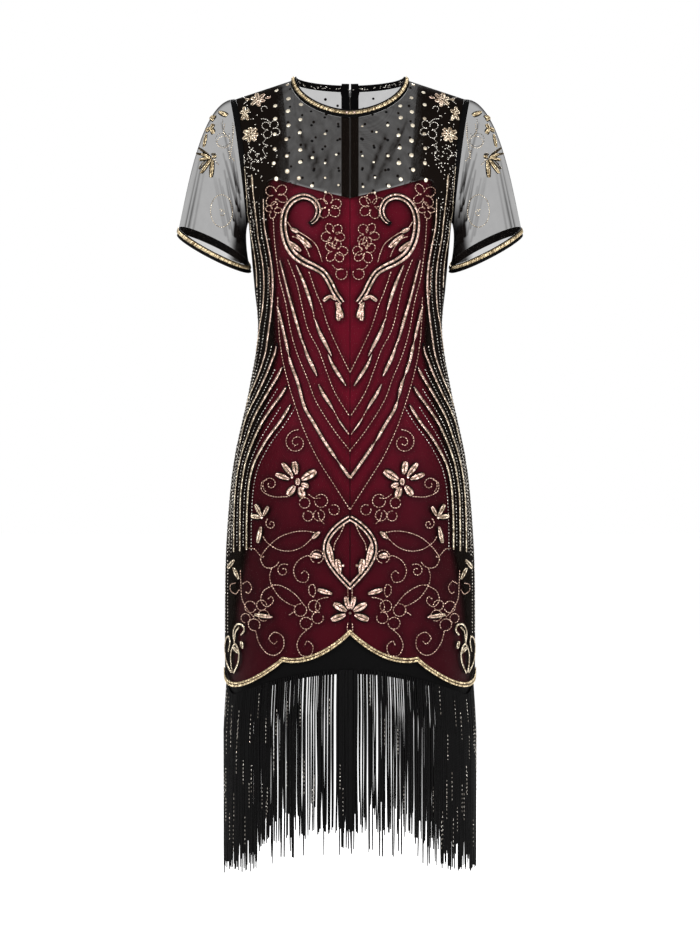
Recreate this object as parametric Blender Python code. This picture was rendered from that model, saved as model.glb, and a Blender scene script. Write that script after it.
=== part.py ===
"""A sleeved flapper dress, filled out as if worn, with nobody in it.

Black net is the outer cloth: a front, two backs and two short sleeves. A wine slip lies under it, hung from
two inner yokes of net. Gold braid edges the neck, cuffs and scalloped hem, raised gold beadwork lies on the
net, and a black hem band under the scallops carries the fringe. A zip closes the centre back.

Metres, +Z up. The front faces -Y and the wearer's left is +X. The origin lies midway between the shoulders,
where the wearer's shoulders carry the dress.
"""

import math

import bmesh
import bpy
from mathutils import Vector

MM = 0.001

# Walls and the layers they lie in. Depths are counted inwards from the net's outer face.
SEAM_GAP = 0.3 * MM
NET_WALL = 1.0 * MM
TAPE_DEPTH = 1.4 * MM
TAPE_WALL = 1.0 * MM
SLIP_DEPTH = 3.2 * MM
SLIP_WALL = 1.0 * MM
HEM_BAND_DEPTH = 5.4 * MM
HEM_BAND_WALL = 1.2 * MM
BAND_WALL = 2.0 * MM
BEADING_WALL = 1.5 * MM
BRAID_WALL = 1.8 * MM
BRAID_LIFT = 0.5 * MM  # trims stand this far off what they lie on, clear of its flat facets

# The torso's level sections: height, half width, and depth in front of and behind the shoulder plane, in mm.
SECTIONS = (
    # level,      z,     half, front, back
    ("underarm", -190, 152.0, 118.0, 94.0),
    ("bust", -230, 148.5, 122.0, 90.0),
    ("under bust", -285, 143.5, 111.0, 84.0),
    ("waist", -355, 138.0, 98.0, 82.0),
    ("high hip", -445, 152.0, 104.0, 96.0),
    ("hip", -540, 172.5, 116.0, 112.0),
    ("seat", -620, 182.0, 122.0, 119.0),
    ("thigh", -720, 187.0, 124.0, 121.0),
    ("hem", -900, 187.5, 124.0, 121.0),
    ("fringe tips", -1160, 189.0, 124.0, 121.0),
)
FULLNESS = 0.16  # how much rounder than an ellipse a section is between its front and its sides

# Bust darts: a soft cup on each side.
CUP_HEIGHT = 10 * MM
CUP_X, CUP_Z = 72 * MM, -232 * MM
CUP_SPREAD_X, CUP_SPREAD_Z = 48 * MM, 55 * MM

# The bodice above the underarm.
UNDERARM_Z = -190 * MM
ARMHOLE_X = 152 * MM
SHOULDER_TIP_X = 171 * MM
SHOULDER_TIP_Z = -5 * MM
ARMHOLE_FRONT = 56 * MM
ARMHOLE_BACK = 60 * MM
ARMHOLE_TURN = 0.96  # the share at which a bodice panel starts to turn in
ARMHOLE_FLARE = 2.2  # how late the bodice widens from the underarm to the shoulder's tip
SHOULDER_ROLL = (1.6, 0.62)  # how a section closes in towards the shoulder: late, then fast
ARMHOLE_EASE = (2.2, 10.0)  # how close to the armhole its fullness stays: everywhere, and more low down
ARMHOLE_LOW_PART = 0.35  # the part of the climb that counts as low down
NECK_SHARE = 0.35  # where the neck edge meets the shoulder seam, as a share of the way to the side
NECK_CORNER = 0.012  # how far round that corner reaches, as a share
NECK_SIDE_Z = 22 * MM
NECK_FRONT = (68 * MM, -42 * MM)  # the net's neck edge at the centre: its depth and its height
NECK_BACK = (52 * MM, 12 * MM)
NECK_RISE = 0.9  # how soon a neck edge rises from its centre

# The scalloped hem: the heights of its points from the centre to the side, and the dip between two.
SCALLOP_CENTRE_Z = -800 * MM
SCALLOP_CUSP_Z = -840.6 * MM
SCALLOP_SIDE_Z = -863 * MM
INNER_SCALLOP_DIP = 15.5 * MM
OUTER_SCALLOP_DIP = 29.5 * MM

# The slip's upper edge at the front, a soft sweetheart line from the centre to the side, in mm.
SLIP_TOP = (
    # share,  z
    (0.00, -163.7),
    (0.25, -149.0),
    (0.45, -137.5),
    (0.53, -134.8),
    (0.61, -140.0),
    (0.69, -158.0),
    (0.80, -180.0),
    (1.00, -197.0),
)
SLIP_BACK_TOP_Z = -163 * MM
SLIP_HEM_RISE = 3 * MM

# Sleeves. A cuff is an ellipse with one half axis out to the side and the other from front to back.
CUFF_CENTRE = Vector((203.5, 0, -236.5)) * MM
CUFF_OUTWARDS = Vector((55.5, 0, 27.5)) * MM
CUFF_DEPTH = 56 * MM
CUFF_BACK_RISE = 0.24  # how much higher the cuff's back is than its front
ARMHOLE_BINDING_WIDTH = 8.5 * MM
CUFF_BAND_WIDTH = 12 * MM
CUFF_BEADING_LOW, CUFF_BEADING_HIGH = 5 * MM, 10.5 * MM  # from the cuff's edge
# How a line down the sleeve leaves the armhole and comes to the cuff, at the underarm and over the shoulder.
SLEEVE_LEAVE = (Vector((22, 0, -50)) * MM, Vector((155, 0, 0)) * MM)
SLEEVE_ARRIVE = (Vector((-20, 0, -50)) * MM, Vector((50, 0, -180)) * MM)
SLEEVE_FOLDS = 3
SLEEVE_FOLD_DEPTH = 2.2 * MM
SLEEVE_COLUMNS = 22
ARMHOLE_BINDING_OFF = 0.4 * MM  # how far the sleeve's side of the armhole stands off the bodice's

# Neck band: the depth or reach and the height of its upper edge.
NECK_BAND_SIDE = (81 * MM, 29 * MM)
NECK_BAND_FRONT = (63 * MM, -29 * MM)
NECK_BAND_BACK = (47 * MM, 22 * MM)
NECK_BAND_BASE = 0.05  # its lower edge, as a share of the way from the net's edge to the upper edge
NECK_OPENING_HALF = 2.0 * MM  # where the band stops short of the zip
NECK_BEADING_LOW, NECK_BEADING_HIGH = 0.34, 0.78

# Hem and fringe.
HEM_BRAID_LOW, HEM_BRAID_HIGH = 0.4 * MM, 8 * MM  # above the net's edge
HEM_BAND_TOP_RISE = 30 * MM
HEM_BAND_CENTRE_Z = -858 * MM
HEM_BAND_SIDE_DROP = 48 * MM
FRINGE_LENGTH = 248 * MM
FRINGE_STRIP_HEIGHT = 9 * MM
FRINGE_STRIP_WALL = 1.6 * MM
FRINGE_STRIP_GAP = 0.7 * MM
STRANDS_A_SIDE = 100
STRAND_TAPER = 0.8  # a strand's width at its tip, as a share of its width at its root
STRAND_DRIFT, STRAND_UNEVEN = 0.9 * MM, 4 * MM  # how far tips stray to the side and in length

# Zip.
ZIP_END_Z = -420 * MM
ZIP_TAPE_WIDTH = 12 * MM
ZIP_CHAIN_WIDTH = 1.8 * MM
ZIP_CHAIN_WALL = 1.3 * MM
ZIP_TAPE_NECK = (0.0, 0.5, 1.3)  # the tapes' last rows, in heights of the neck band
ZIP_CHAIN_NECK = (0.0, 0.5)
SLIDER_Z = 1.5 * MM
SLIDER_WALL = 1.2 * MM
PULL_PIN_HEIGHT = 1.2 * MM  # above the slider's plate
PULL_WALL = 1.0 * MM

# Raised beadwork on the net. Places are seen from outside: across from the centre line, then up, in mm.
RELIEF_WALL = 1.5 * MM
RELIEF_LIFT = 0.9 * MM
SCROLL = (
    # step, across,  z,  width
    (0, 60, -198, 3.0),
    (1, 47, -190, 5.0),
    (2, 49, -172, 7.0),
    (3, 68, -160, 8.5),
    (4, 91, -170, 9.5),
    (5, 96, -196, 10.0),
    (6, 88, -228, 10.5),
    (7, 68, -250, 10.5),
    (8, 42, -262, 9.5),
    (9, 27, -284, 8.0),
    (10, 15, -308, 5.0),
)
MANDORLA_TOP_Z, MANDORLA_LOW_Z = -632 * MM, -731 * MM
MANDORLA_HALF = 35 * MM
MANDORLA_BAND = 7.5 * MM
FLOWER_ACROSS, FLOWER_Z = 77 * MM, -582 * MM
FLOWER_PETALS = 8
FLOWER_REACH = 25 * MM
FLOWER_NOTCH = 13 * MM
FLOWER_EYE = 4 * MM

FRONT, BACK = -1, 1


# ---------------------------------------------------------------- materials


def material(name, colour, roughness, metallic=0.0):
    made = bpy.data.materials.new(name)
    made.use_nodes = True
    shader = made.node_tree.nodes["Principled BSDF"]
    shader.inputs["Base Color"].default_value = (*colour, 1.0)
    shader.inputs["Roughness"].default_value = roughness
    shader.inputs["Metallic"].default_value = metallic
    return made


def make_materials():
    return {
        "net": material("net", (0.020, 0.018, 0.019), 0.75),
        "slip": material("slip", (0.150, 0.010, 0.028), 0.55),
        "band": material("band", (0.012, 0.011, 0.012), 0.60),
        "gold": material("gold", (0.640, 0.470, 0.270), 0.30, 0.9),
        "fringe": material("fringe", (0.010, 0.010, 0.011), 0.50),
        "zip": material("zip", (0.060, 0.055, 0.055), 0.35, 0.6),
    }


# ---------------------------------------------------------------- the garment's form


def spread(start, end, count):
    """Count equal steps from start to end."""
    return [start + (end - start) * k / count for k in range(count + 1)]


def eased(rows, key):
    """A smooth curve through the rows' (key, value...) numbers, read at key."""
    rows = sorted(rows)
    keys = [row[0] for row in rows]
    key = min(max(key, keys[0]), keys[-1])
    i = max(k for k in range(len(rows) - 1) if keys[k] <= key)
    span = keys[i + 1] - keys[i]
    t = (key - keys[i]) / span

    def slope(k, column):
        low, high = max(k - 1, 0), min(k + 1, len(rows) - 1)
        return (rows[high][column] - rows[low][column]) / (keys[high] - keys[low])

    return [
        rows[i][column] * (2 * t**3 - 3 * t**2 + 1)
        + slope(i, column) * span * (t**3 - 2 * t**2 + t)
        + rows[i + 1][column] * (3 * t**2 - 2 * t**3)
        + slope(i + 1, column) * span * (t**3 - t**2)
        for column in range(1, len(rows[0]))
    ]


SECTION_ROWS = [(z * MM, half * MM, front * MM, back * MM) for _, z, half, front, back in SECTIONS]
SLIP_TOP_LINE = [(share, z * MM) for share, z in SLIP_TOP]


def ring_depth(side, share, z):
    """How far a level section reaches in front of or behind the shoulder plane."""
    _, front, back = eased(SECTION_ROWS, z)
    angle = share * math.pi / 2
    depth = front if side == FRONT else back
    return depth * math.cos(angle) * (1 + FULLNESS * math.sin(angle) ** 2)


def cups(x, z):
    """How far the bust darts fill the front out."""
    across = (abs(x) - CUP_X) / CUP_SPREAD_X
    along = (z - CUP_Z) / CUP_SPREAD_Z
    return CUP_HEIGHT * math.exp(-(across**2) - along**2)


def skirt_point(side, share, z):
    """A point of the net's outer face at or below the underarm. Share runs from -1 to 1, side to side."""
    half = eased(SECTION_ROWS, z)[0]
    x = half * math.sin(share * math.pi / 2)
    y = ring_depth(side, share, z)
    if side == FRONT:
        y += cups(x, z)
    return Vector((x, side * y, z))


def neck_curve(edge, across):
    """A neck edge's depth and height, from its values at the centre, at an angle round from the centre."""
    depth, centre_z, side_z = edge
    return depth * math.cos(across), centre_z + (side_z - centre_z) * (1 - math.cos(across)) ** NECK_RISE


def top_edge(side, share):
    """Depth and height of the neck edge and shoulder seam, which close the bodice at the top."""
    x = SHOULDER_TIP_X * math.sin(abs(share) * math.pi / 2)
    neck_x = SHOULDER_TIP_X * math.sin(NECK_SHARE * math.pi / 2)
    if abs(share) < NECK_SHARE:
        centre = NECK_FRONT if side == FRONT else NECK_BACK
        return neck_curve((*centre, NECK_SIDE_Z), math.asin(x / neck_x))
    along = (x - neck_x) / (SHOULDER_TIP_X - neck_x)
    return 0.0, NECK_SIDE_Z + (SHOULDER_TIP_Z - NECK_SIDE_Z) * along


def bodice_half(t):
    return ARMHOLE_X + (SHOULDER_TIP_X - ARMHOLE_X) * t**ARMHOLE_FLARE


def bodice_point(side, share, climb):
    """A point of the net's outer face above the underarm. Climb runs from 0 there to 1 at the top edge."""
    t = 1 - (1 - climb) ** 2
    top_depth, top_z = top_edge(side, share)
    z = UNDERARM_Z + (top_z - UNDERARM_Z) * t
    x = bodice_half(t) * math.sin(share * math.pi / 2)
    late, fast = SHOULDER_ROLL
    rolled = (1 - t**late) ** fast
    depth = top_depth * (1 - rolled) ** 1.5 + ring_depth(side, share, UNDERARM_Z) * rolled
    reach = ARMHOLE_FRONT if side == FRONT else ARMHOLE_BACK
    low = max(0.0, 1 - t / ARMHOLE_LOW_PART)
    bow = max(0.0, math.sin(math.pi * t**0.9)) ** 0.7
    depth += reach * bow * abs(share) ** (ARMHOLE_EASE[0] + ARMHOLE_EASE[1] * low**2)
    if side == FRONT:
        depth += cups(x, z) * (1 - t)
    return Vector((x, side * depth, z))


def hem_z(share):
    """Height of the scalloped edge, the same on the front and the back."""
    share = abs(share)
    if share < NECK_SHARE:
        u = share / NECK_SHARE
        ends, dip = (SCALLOP_CENTRE_Z, SCALLOP_CUSP_Z), INNER_SCALLOP_DIP
    else:
        u = (share - NECK_SHARE) / (1 - NECK_SHARE)
        ends, dip = (SCALLOP_CUSP_Z, SCALLOP_SIDE_Z), OUTER_SCALLOP_DIP
    wave = max(0.0, math.sin(math.pi * u)) ** 0.8
    return ends[0] + (ends[1] - ends[0]) * u - dip * wave


def net_point(side, share, level):
    """Level runs from 0 at the hem to 1 at the underarm and 2 at the neck and shoulders."""
    if level > 1:
        return bodice_point(side, share, level - 1)
    z = hem_z(share)
    return skirt_point(side, share, z + (UNDERARM_Z - z) * level)


def height_share(side, share, z):
    """How far a height above the underarm is up the bodice, from 0 to 1."""
    return (z - UNDERARM_Z) / (top_edge(side, share)[1] - UNDERARM_Z)


def level_at(side, share, z):
    """The level at which the net has this height."""
    if z <= UNDERARM_Z:
        return (z - hem_z(share)) / (UNDERARM_Z - hem_z(share))
    return 2 - math.sqrt(max(0.0, 1 - height_share(side, share, z)))


def share_at(side, across, z):
    """The share at which the net is this far from the centre line at this height."""
    if z <= UNDERARM_Z:
        return math.asin(across / eased(SECTION_ROWS, z)[0]) * 2 / math.pi
    share = 0.0
    for _ in range(8):
        half = bodice_half(min(height_share(side, share, z), 1.0))
        share = math.asin(across / half) * 2 / math.pi
    return share


def body_face(side):
    """The net's outer face as a function of (u, v) whose u x v points outwards."""
    if side == FRONT:
        return lambda u, v: net_point(FRONT, u, v)
    return lambda u, v: net_point(BACK, -u, v)


def outward(face, u, v, top):
    step = 0.002
    along_u = face(u + step, v) - face(u - step, v)
    along_v = face(u, min(v + step, top)) - face(u, min(max(v - step, 0.0), top - step))
    return along_u.cross(along_v).normalized()


def inwards(face, u, v, depth, top=2.0):
    """The face's point at (u, v), moved inwards along its normal.

    A bodice panel turns sharply at its armhole, where its normal is read just before the edge, and at the
    neck's corner, where the walls on both sides of the corner are mitred.
    """
    if v > 1 and abs(abs(u) - NECK_SHARE) < NECK_CORNER:
        sides = [outward(face, math.copysign(NECK_SHARE + hand * NECK_CORNER, u), v, top) for hand in (-1, 1)]
        move = (sides[0] + sides[1]) / (1 + sides[0].dot(sides[1]))
    else:
        at = max(-ARMHOLE_TURN, min(u, ARMHOLE_TURN)) if v > 1 else u
        move = outward(face, at, v, top)
    return face(u, v) - move * depth


def on_net(side, across, z, depth):
    """A point under (or, if negative, over) the net, at a place as seen from outside."""
    u = share_at(side, across, z)
    return inwards(body_face(side), u, level_at(side, abs(u), z), depth)


# ---------------------------------------------------------------- making solids


def finished(name, mesh, look, smooth_below=40):
    mesh.shade_smooth()
    mesh.set_sharp_from_angle(angle=math.radians(smooth_below))
    mesh.materials.append(look)
    made = bpy.data.objects.new(name, mesh)
    bpy.context.scene.collection.objects.link(made)
    return made


def wall(name, sheet, depth, thickness, look, closed=False):
    """Cloth: a closed wall between the sheet's points at one depth and at another, deeper by its thickness.

    sheet(depth) gives rows of points, whose columns x rows point outwards and close into a ring if asked.
    """
    outer, inner = sheet(depth), sheet(depth + thickness)
    rows, columns = len(outer), len(outer[0])
    spans = columns if closed else columns - 1

    def at(row, column):
        return row * columns + column % columns

    points = [point for grid in (outer, inner) for line in grid for point in line]
    faces = []
    under = rows * columns
    for row in range(rows - 1):
        for column in range(spans):
            a, b, c, d = at(row, column), at(row, column + 1), at(row + 1, column + 1), at(row + 1, column)
            # Both faces are folded along the diagonal that lies further out, so that they stay parallel.
            bulge = points[a] + points[c] - points[b] - points[d]
            ridge = bulge.dot(points[a] - points[under + a]) > 0
            for corners in ((a, b, c), (a, c, d)) if ridge else ((a, b, d), (b, c, d)):
                faces.append(corners)
                faces.append(tuple(under + corner for corner in reversed(corners)))
    rim = [(at(0, column + 1), at(0, column)) for column in range(spans)]
    rim += [(at(rows - 1, column), at(rows - 1, column + 1)) for column in range(spans)]
    if not closed:
        rim += [(at(row, 0), at(row + 1, 0)) for row in range(rows - 1)]
        rim += [(at(row + 1, columns - 1), at(row, columns - 1)) for row in range(rows - 1)]
    faces += [(a, b, under + b, under + a) for a, b in rim]
    mesh = bpy.data.meshes.new(name)
    mesh.from_pydata(points, [], faces)
    mesh.update()
    return finished(name, mesh, look)


def mirrored(sheet):
    """The same sheet on the other side of the body."""

    def other(depth):
        return [[Vector((-p.x, p.y, p.z)) for p in reversed(line)] for line in sheet(depth)]

    return other


def full_width(half):
    return [-share for share in reversed(half[1:])] + list(half)


def off_side_seam(u, z):
    """Draws a panel's edge back from its side seam by half the seam's gap."""
    if abs(u) < 1:
        return u
    girth = eased(SECTION_ROWS, min(z, UNDERARM_Z))[1] * math.pi / 2
    return u - math.copysign(SEAM_GAP / 2 / girth, u)


# ---------------------------------------------------------------- the outer net

# Columns of the body panels from the centre to the side. The neck corner and the hem's cusp share one.
NECK_COLUMNS = 6
NECK_SHARES = [NECK_SHARE * math.sin(k * math.pi / 2 / NECK_COLUMNS) ** 1.15 for k in range(NECK_COLUMNS + 1)]
HALF_SHARES = NECK_SHARES + [0.45, 0.56, 0.67, 0.77, 0.85, 0.92, 1.0]
SKIRT_LEVELS = [0.0, 0.14, 0.30, 0.42, 0.52, 0.62, 0.71, 0.79, 0.85, 0.905, 0.955]
BODICE_LEVELS = [1.0, 1.04, 1.09, 1.16, 1.25, 1.37, 1.51, 1.67, 1.83, 1.94, 2.0]


def net_sheet(side, shares):
    face = body_face(side)

    def sheet(depth):
        grid = []
        for level in SKIRT_LEVELS + BODICE_LEVELS:
            line = []
            for u in shares:
                seam_u = off_side_seam(u, UNDERARM_Z) if level <= 1 else u
                line.append(inwards(face, seam_u, level, depth))
            grid.append(line)
        for line in grid[-2:]:  # the walls stop short of each other at the shoulder seam
            for point in line:
                point.y = side * max(side * point.y, SEAM_GAP / 2)
        return grid

    return sheet


def make_net(looks):
    wall("net_front", net_sheet(FRONT, full_width(HALF_SHARES)), 0.0, NET_WALL, looks["net"])
    centre = SEAM_GAP / 2 / (ARMHOLE_X * math.pi / 2)
    right = net_sheet(BACK, [centre, *HALF_SHARES[1:]])
    wall("net_back_right", right, 0.0, NET_WALL, looks["net"])
    wall("net_back_left", mirrored(right), 0.0, NET_WALL, looks["net"])


# ---------------------------------------------------------------- the slip and its yokes

SLIP_SHARES = [0.0, 0.12, 0.24, NECK_SHARE, 0.41, 0.49, 0.56, 0.63, 0.71, 0.8, 0.9, 1.0]
YOKE_SHARES = SLIP_SHARES[4:11]
SLIP_TOP_ROWS = 3


def slip_top_z(side, share):
    if side == FRONT:
        return eased(SLIP_TOP_LINE, abs(share))[0]
    side_z = SLIP_TOP_LINE[-1][1]
    return SLIP_BACK_TOP_Z + (side_z - SLIP_BACK_TOP_Z) * abs(share) ** 3


def slip_levels(side, shares):
    """The slip's rows keep the net's own levels up to its last rows, which close in on its upper edge."""
    hem = [level_at(side, abs(u), hem_z(u) + SLIP_HEM_RISE) for u in shares]
    rows = [hem] + [[level] * len(shares) for level in SKIRT_LEVELS[1:]]
    for step in spread(0.0, 1.0, SLIP_TOP_ROWS)[1:]:
        row = []
        for u in shares:
            low = net_point(side, u, SKIRT_LEVELS[-1]).z
            row.append(level_at(side, abs(u), low + (slip_top_z(side, u) - low) * step))
        rows.append(row)
    return rows


def slip_sheet(side, shares):
    face = body_face(side)

    def sheet(depth):
        grid = []
        for level in slip_levels(side, shares):
            edged = [off_side_seam(u, UNDERARM_Z) for u in shares]
            grid.append([inwards(face, u, v, depth) for u, v in zip(edged, level)])
        return grid

    return sheet


def make_slip(looks):
    centre = SEAM_GAP / 2 / (ARMHOLE_X * math.pi / 2)
    left = slip_sheet(FRONT, [centre, *SLIP_SHARES[1:]])
    wall("slip_front_left", left, SLIP_DEPTH, SLIP_WALL, looks["slip"])
    wall("slip_front_right", mirrored(left), SLIP_DEPTH, SLIP_WALL, looks["slip"])
    back = slip_sheet(BACK, full_width(SLIP_SHARES))
    wall("slip_back", back, SLIP_DEPTH, SLIP_WALL, looks["slip"])


def yoke_sheet(depth):
    """The wearer's left inner yoke, from the slip's front edge over the shoulder to its back edge."""
    steps = [0.0, 0.25, 0.5, 0.75, 0.92]
    grid = []
    for side, order in ((FRONT, steps), (BACK, steps[::-1])):
        for step in order:
            line = []
            for share in YOKE_SHARES:
                low = level_at(side, share, slip_top_z(side, share) + 2 * SEAM_GAP)
                u = share if side == FRONT else -share
                line.append(inwards(body_face(side), u, low + (2 - low) * step, depth))
            grid.append(line)
    return grid


def make_yokes(looks):
    wall("inner_yoke_left", yoke_sheet, SLIP_DEPTH, NET_WALL, looks["net"])
    wall("inner_yoke_right", mirrored(yoke_sheet), SLIP_DEPTH, NET_WALL, looks["net"])


# ---------------------------------------------------------------- sleeves, their bindings and cuffs


def armhole_point(turn):
    """The armhole on the wearer's left. Turn runs once round: 0 at the shoulder, 0.25 front, 0.5 underarm."""
    turn %= 1.0
    side = FRONT if turn <= 0.5 else BACK
    down = turn * 2 if turn <= 0.5 else (1 - turn) * 2
    point = bodice_point(side, 1.0, 1 - math.sqrt(down))
    return Vector((point.x + ARMHOLE_BINDING_OFF, point.y, point.z))


def cuff_point(turn):
    angle = turn * 2 * math.pi
    y = -CUFF_DEPTH * math.sin(angle)
    return CUFF_CENTRE + CUFF_OUTWARDS * math.cos(angle) + Vector((0, y, CUFF_BACK_RISE * y))


def sleeve_point(turn, t):
    """A point of the left sleeve's outer face. t runs from 0 at the armhole to 1 at the cuff's edge."""
    top = (1 + math.cos(turn * 2 * math.pi)) / 2  # 1 over the shoulder, 0 at the underarm
    leave = SLEEVE_LEAVE[0].lerp(SLEEVE_LEAVE[1], top)
    arrive = SLEEVE_ARRIVE[0].lerp(SLEEVE_ARRIVE[1], top)
    point = (
        armhole_point(turn) * (2 * t**3 - 3 * t**2 + 1)
        + leave * (t**3 - 2 * t**2 + t)
        + cuff_point(turn) * (3 * t**2 - 2 * t**3)
        + arrive * (t**3 - t**2)
    )
    axis = CUFF_CENTRE * t + Vector((ARMHOLE_X, 0, UNDERARM_Z / 2)) * (1 - t)
    fold = math.cos(SLEEVE_FOLDS * 2 * math.pi * turn) * math.sin(math.pi * min(t, 0.93)) * top**0.5
    return point + (point - axis).normalized() * SLEEVE_FOLD_DEPTH * fold


def sleeve_face(u, v):
    """The left sleeve's outer face with u x v outwards: u against the turn, v from 0 at the cuff to 1."""
    return sleeve_point(-u, 1 - v)


def sleeve_v(u, distance, from_cuff):
    """Where a line down the sleeve is this far from the cuff's edge or from the armhole."""
    steps = spread(0.0, 1.0, 40) if from_cuff else spread(1.0, 0.0, 40)
    path = [sleeve_face(u, step) for step in steps]
    for k in range(40):
        length = (path[k + 1] - path[k]).length
        if distance <= length:
            return steps[k] + (steps[k + 1] - steps[k]) * distance / length
        distance -= length
    return steps[-1]


def sleeve_sheet(low, high, rows):
    """Rings of the left sleeve between two lines round it, each given as (distance, from the cuff or not)."""

    def sheet(depth):
        turns = [k / SLEEVE_COLUMNS for k in range(SLEEVE_COLUMNS)]
        ends = [(sleeve_v(u, *low), sleeve_v(u, *high)) for u in turns]
        return [
            [
                inwards(sleeve_face, u, start + (end - start) * step, depth, top=1.0)
                for u, (start, end) in zip(turns, ends)
            ]
            for step in spread(0.0, 1.0, rows)
        ]

    return sheet


def both_sides(name, sheet, depth, thickness, look):
    wall(name + "_left", sheet, depth, thickness, look, closed=True)
    wall(name + "_right", mirrored(sheet), depth, thickness, look, closed=True)


def make_sleeves(looks):
    sleeve_low = (CUFF_BAND_WIDTH + SEAM_GAP, True)
    sleeve_high = (ARMHOLE_BINDING_WIDTH + SEAM_GAP, False)
    both_sides("sleeve", sleeve_sheet(sleeve_low, sleeve_high, 7), 0.0, NET_WALL, looks["net"])
    binding = sleeve_sheet((ARMHOLE_BINDING_WIDTH, False), (0.0, False), 1)
    both_sides("armhole_binding", binding, 0.0, NET_WALL, looks["band"])
    cuff = sleeve_sheet((0.0, True), (CUFF_BAND_WIDTH, True), 1)
    both_sides("cuff_band", cuff, 0.0, BAND_WALL, looks["band"])
    beading = sleeve_sheet((CUFF_BEADING_LOW, True), (CUFF_BEADING_HIGH, True), 1)
    both_sides("cuff_beading", beading, -BRAID_LIFT - BEADING_WALL, BEADING_WALL, looks["gold"])


# ---------------------------------------------------------------- neck band and hem


def neck_band_point(across, height):
    """Across is an angle: 0 at the front, a quarter turn at a side. Height runs from 0 at the net to 1."""
    front = math.cos(across) >= 0
    round_from_centre = math.acos(abs(math.cos(across)))
    net_side = (SHOULDER_TIP_X * math.sin(NECK_SHARE * math.pi / 2), NECK_SIDE_Z)
    ends = []
    for reach, side_z, centre in (
        (*net_side, NECK_FRONT if front else NECK_BACK),
        (*NECK_BAND_SIDE, NECK_BAND_FRONT if front else NECK_BAND_BACK),
    ):
        depth, z = neck_curve((*centre, side_z), round_from_centre)
        ends.append(Vector((reach * math.sin(across), -depth if front else depth, z)))
    return ends[0] + (ends[1] - ends[0]) * height


def neck_band_inwards(across, height, depth):
    step = 0.01
    along = neck_band_point(across + step, 0.5) - neck_band_point(across - step, 0.5)
    up = neck_band_point(across, 1.0) - neck_band_point(across, 0.0)
    return neck_band_point(across, height) - along.cross(up).normalized() * depth


def neck_band_sheet(low, high):
    """Its columns are the net's own at the neck edge, round from the zip and back to it."""
    corner = math.sin(NECK_SHARE * math.pi / 2)
    quarter = [math.asin(math.sin(share * math.pi / 2) / corner) for share in NECK_SHARES]
    back_centre = math.pi - NECK_OPENING_HALF / NECK_BAND_SIDE[0]
    half = quarter + [math.pi - across for across in quarter[-2:0:-1]] + [back_centre]
    turns = full_width(half)

    def sheet(depth):
        return [[neck_band_inwards(across, height, depth) for across in turns] for height in (low, high)]

    return sheet


def make_neck_band(looks):
    wall("neck_band", neck_band_sheet(NECK_BAND_BASE, 1.0), -SEAM_GAP, BAND_WALL, looks["band"])
    over = -2 * SEAM_GAP - BEADING_WALL
    beading = neck_band_sheet(NECK_BEADING_LOW, NECK_BEADING_HIGH)
    wall("neck_beading", beading, over, BEADING_WALL, looks["gold"])


def hem_shares():
    inner = spread(0.0, NECK_SHARE, 6)
    outer = spread(NECK_SHARE, 1.0, 8)
    return full_width(inner + outer[1:])


def hem_braid_sheet(side):
    """Braid lying on the net along its scalloped edge."""
    face = body_face(side)

    def sheet(depth):
        grid = []
        for rise in (HEM_BRAID_LOW, HEM_BRAID_HIGH):
            line = []
            for u in hem_shares():
                z = hem_z(u) + rise
                line.append(inwards(face, off_side_seam(u, z), level_at(side, abs(u), z), depth))
            grid.append(line)
        return grid

    return sheet


def hem_band_low_z(share):
    return HEM_BAND_CENTRE_Z - HEM_BAND_SIDE_DROP * math.sin(share * math.pi / 2) ** 2


def below_net(side, u, z, depth):
    """A point at this height inside the net's outer face, or inside where that face would go on below it."""

    def face(across, height):
        return skirt_point(side, across if side == FRONT else -across, height)

    return inwards_at(face, u, z, depth)


def inwards_at(face, u, z, depth):
    step = 0.002
    along = face(u + step, z) - face(u - step, z)
    up = face(u, z + step) - face(u, z - step)
    return face(u, z) - along.cross(up).normalized() * depth


def hem_band_sheet(side):
    def sheet(depth):
        grid = []
        for step in (0.0, 0.5, 1.0):
            line = []
            for u in full_width(spread(0.0, 1.0, 12)):
                low, high = hem_band_low_z(u), hem_z(u) + HEM_BAND_TOP_RISE
                z = low + (high - low) * step
                line.append(below_net(side, off_side_seam(u, z), z, depth))
            grid.append(line)
        return grid

    return sheet


def make_hem(looks):
    for side, name in ((FRONT, "front"), (BACK, "back")):
        over = -BRAID_LIFT - BRAID_WALL
        wall(f"hem_braid_{name}", hem_braid_sheet(side), over, BRAID_WALL, looks["gold"])
        wall(f"hem_band_{name}", hem_band_sheet(side), HEM_BAND_DEPTH, HEM_BAND_WALL, looks["band"])


# ---------------------------------------------------------------- fringe


def strand_sway(k):
    """How far a strand's tip drifts to the side, and how much longer it is, by an uneven rule."""
    return math.sin(k * 2.4) * STRAND_DRIFT, math.sin(k * 5.1 + 1) * STRAND_UNEVEN


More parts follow.
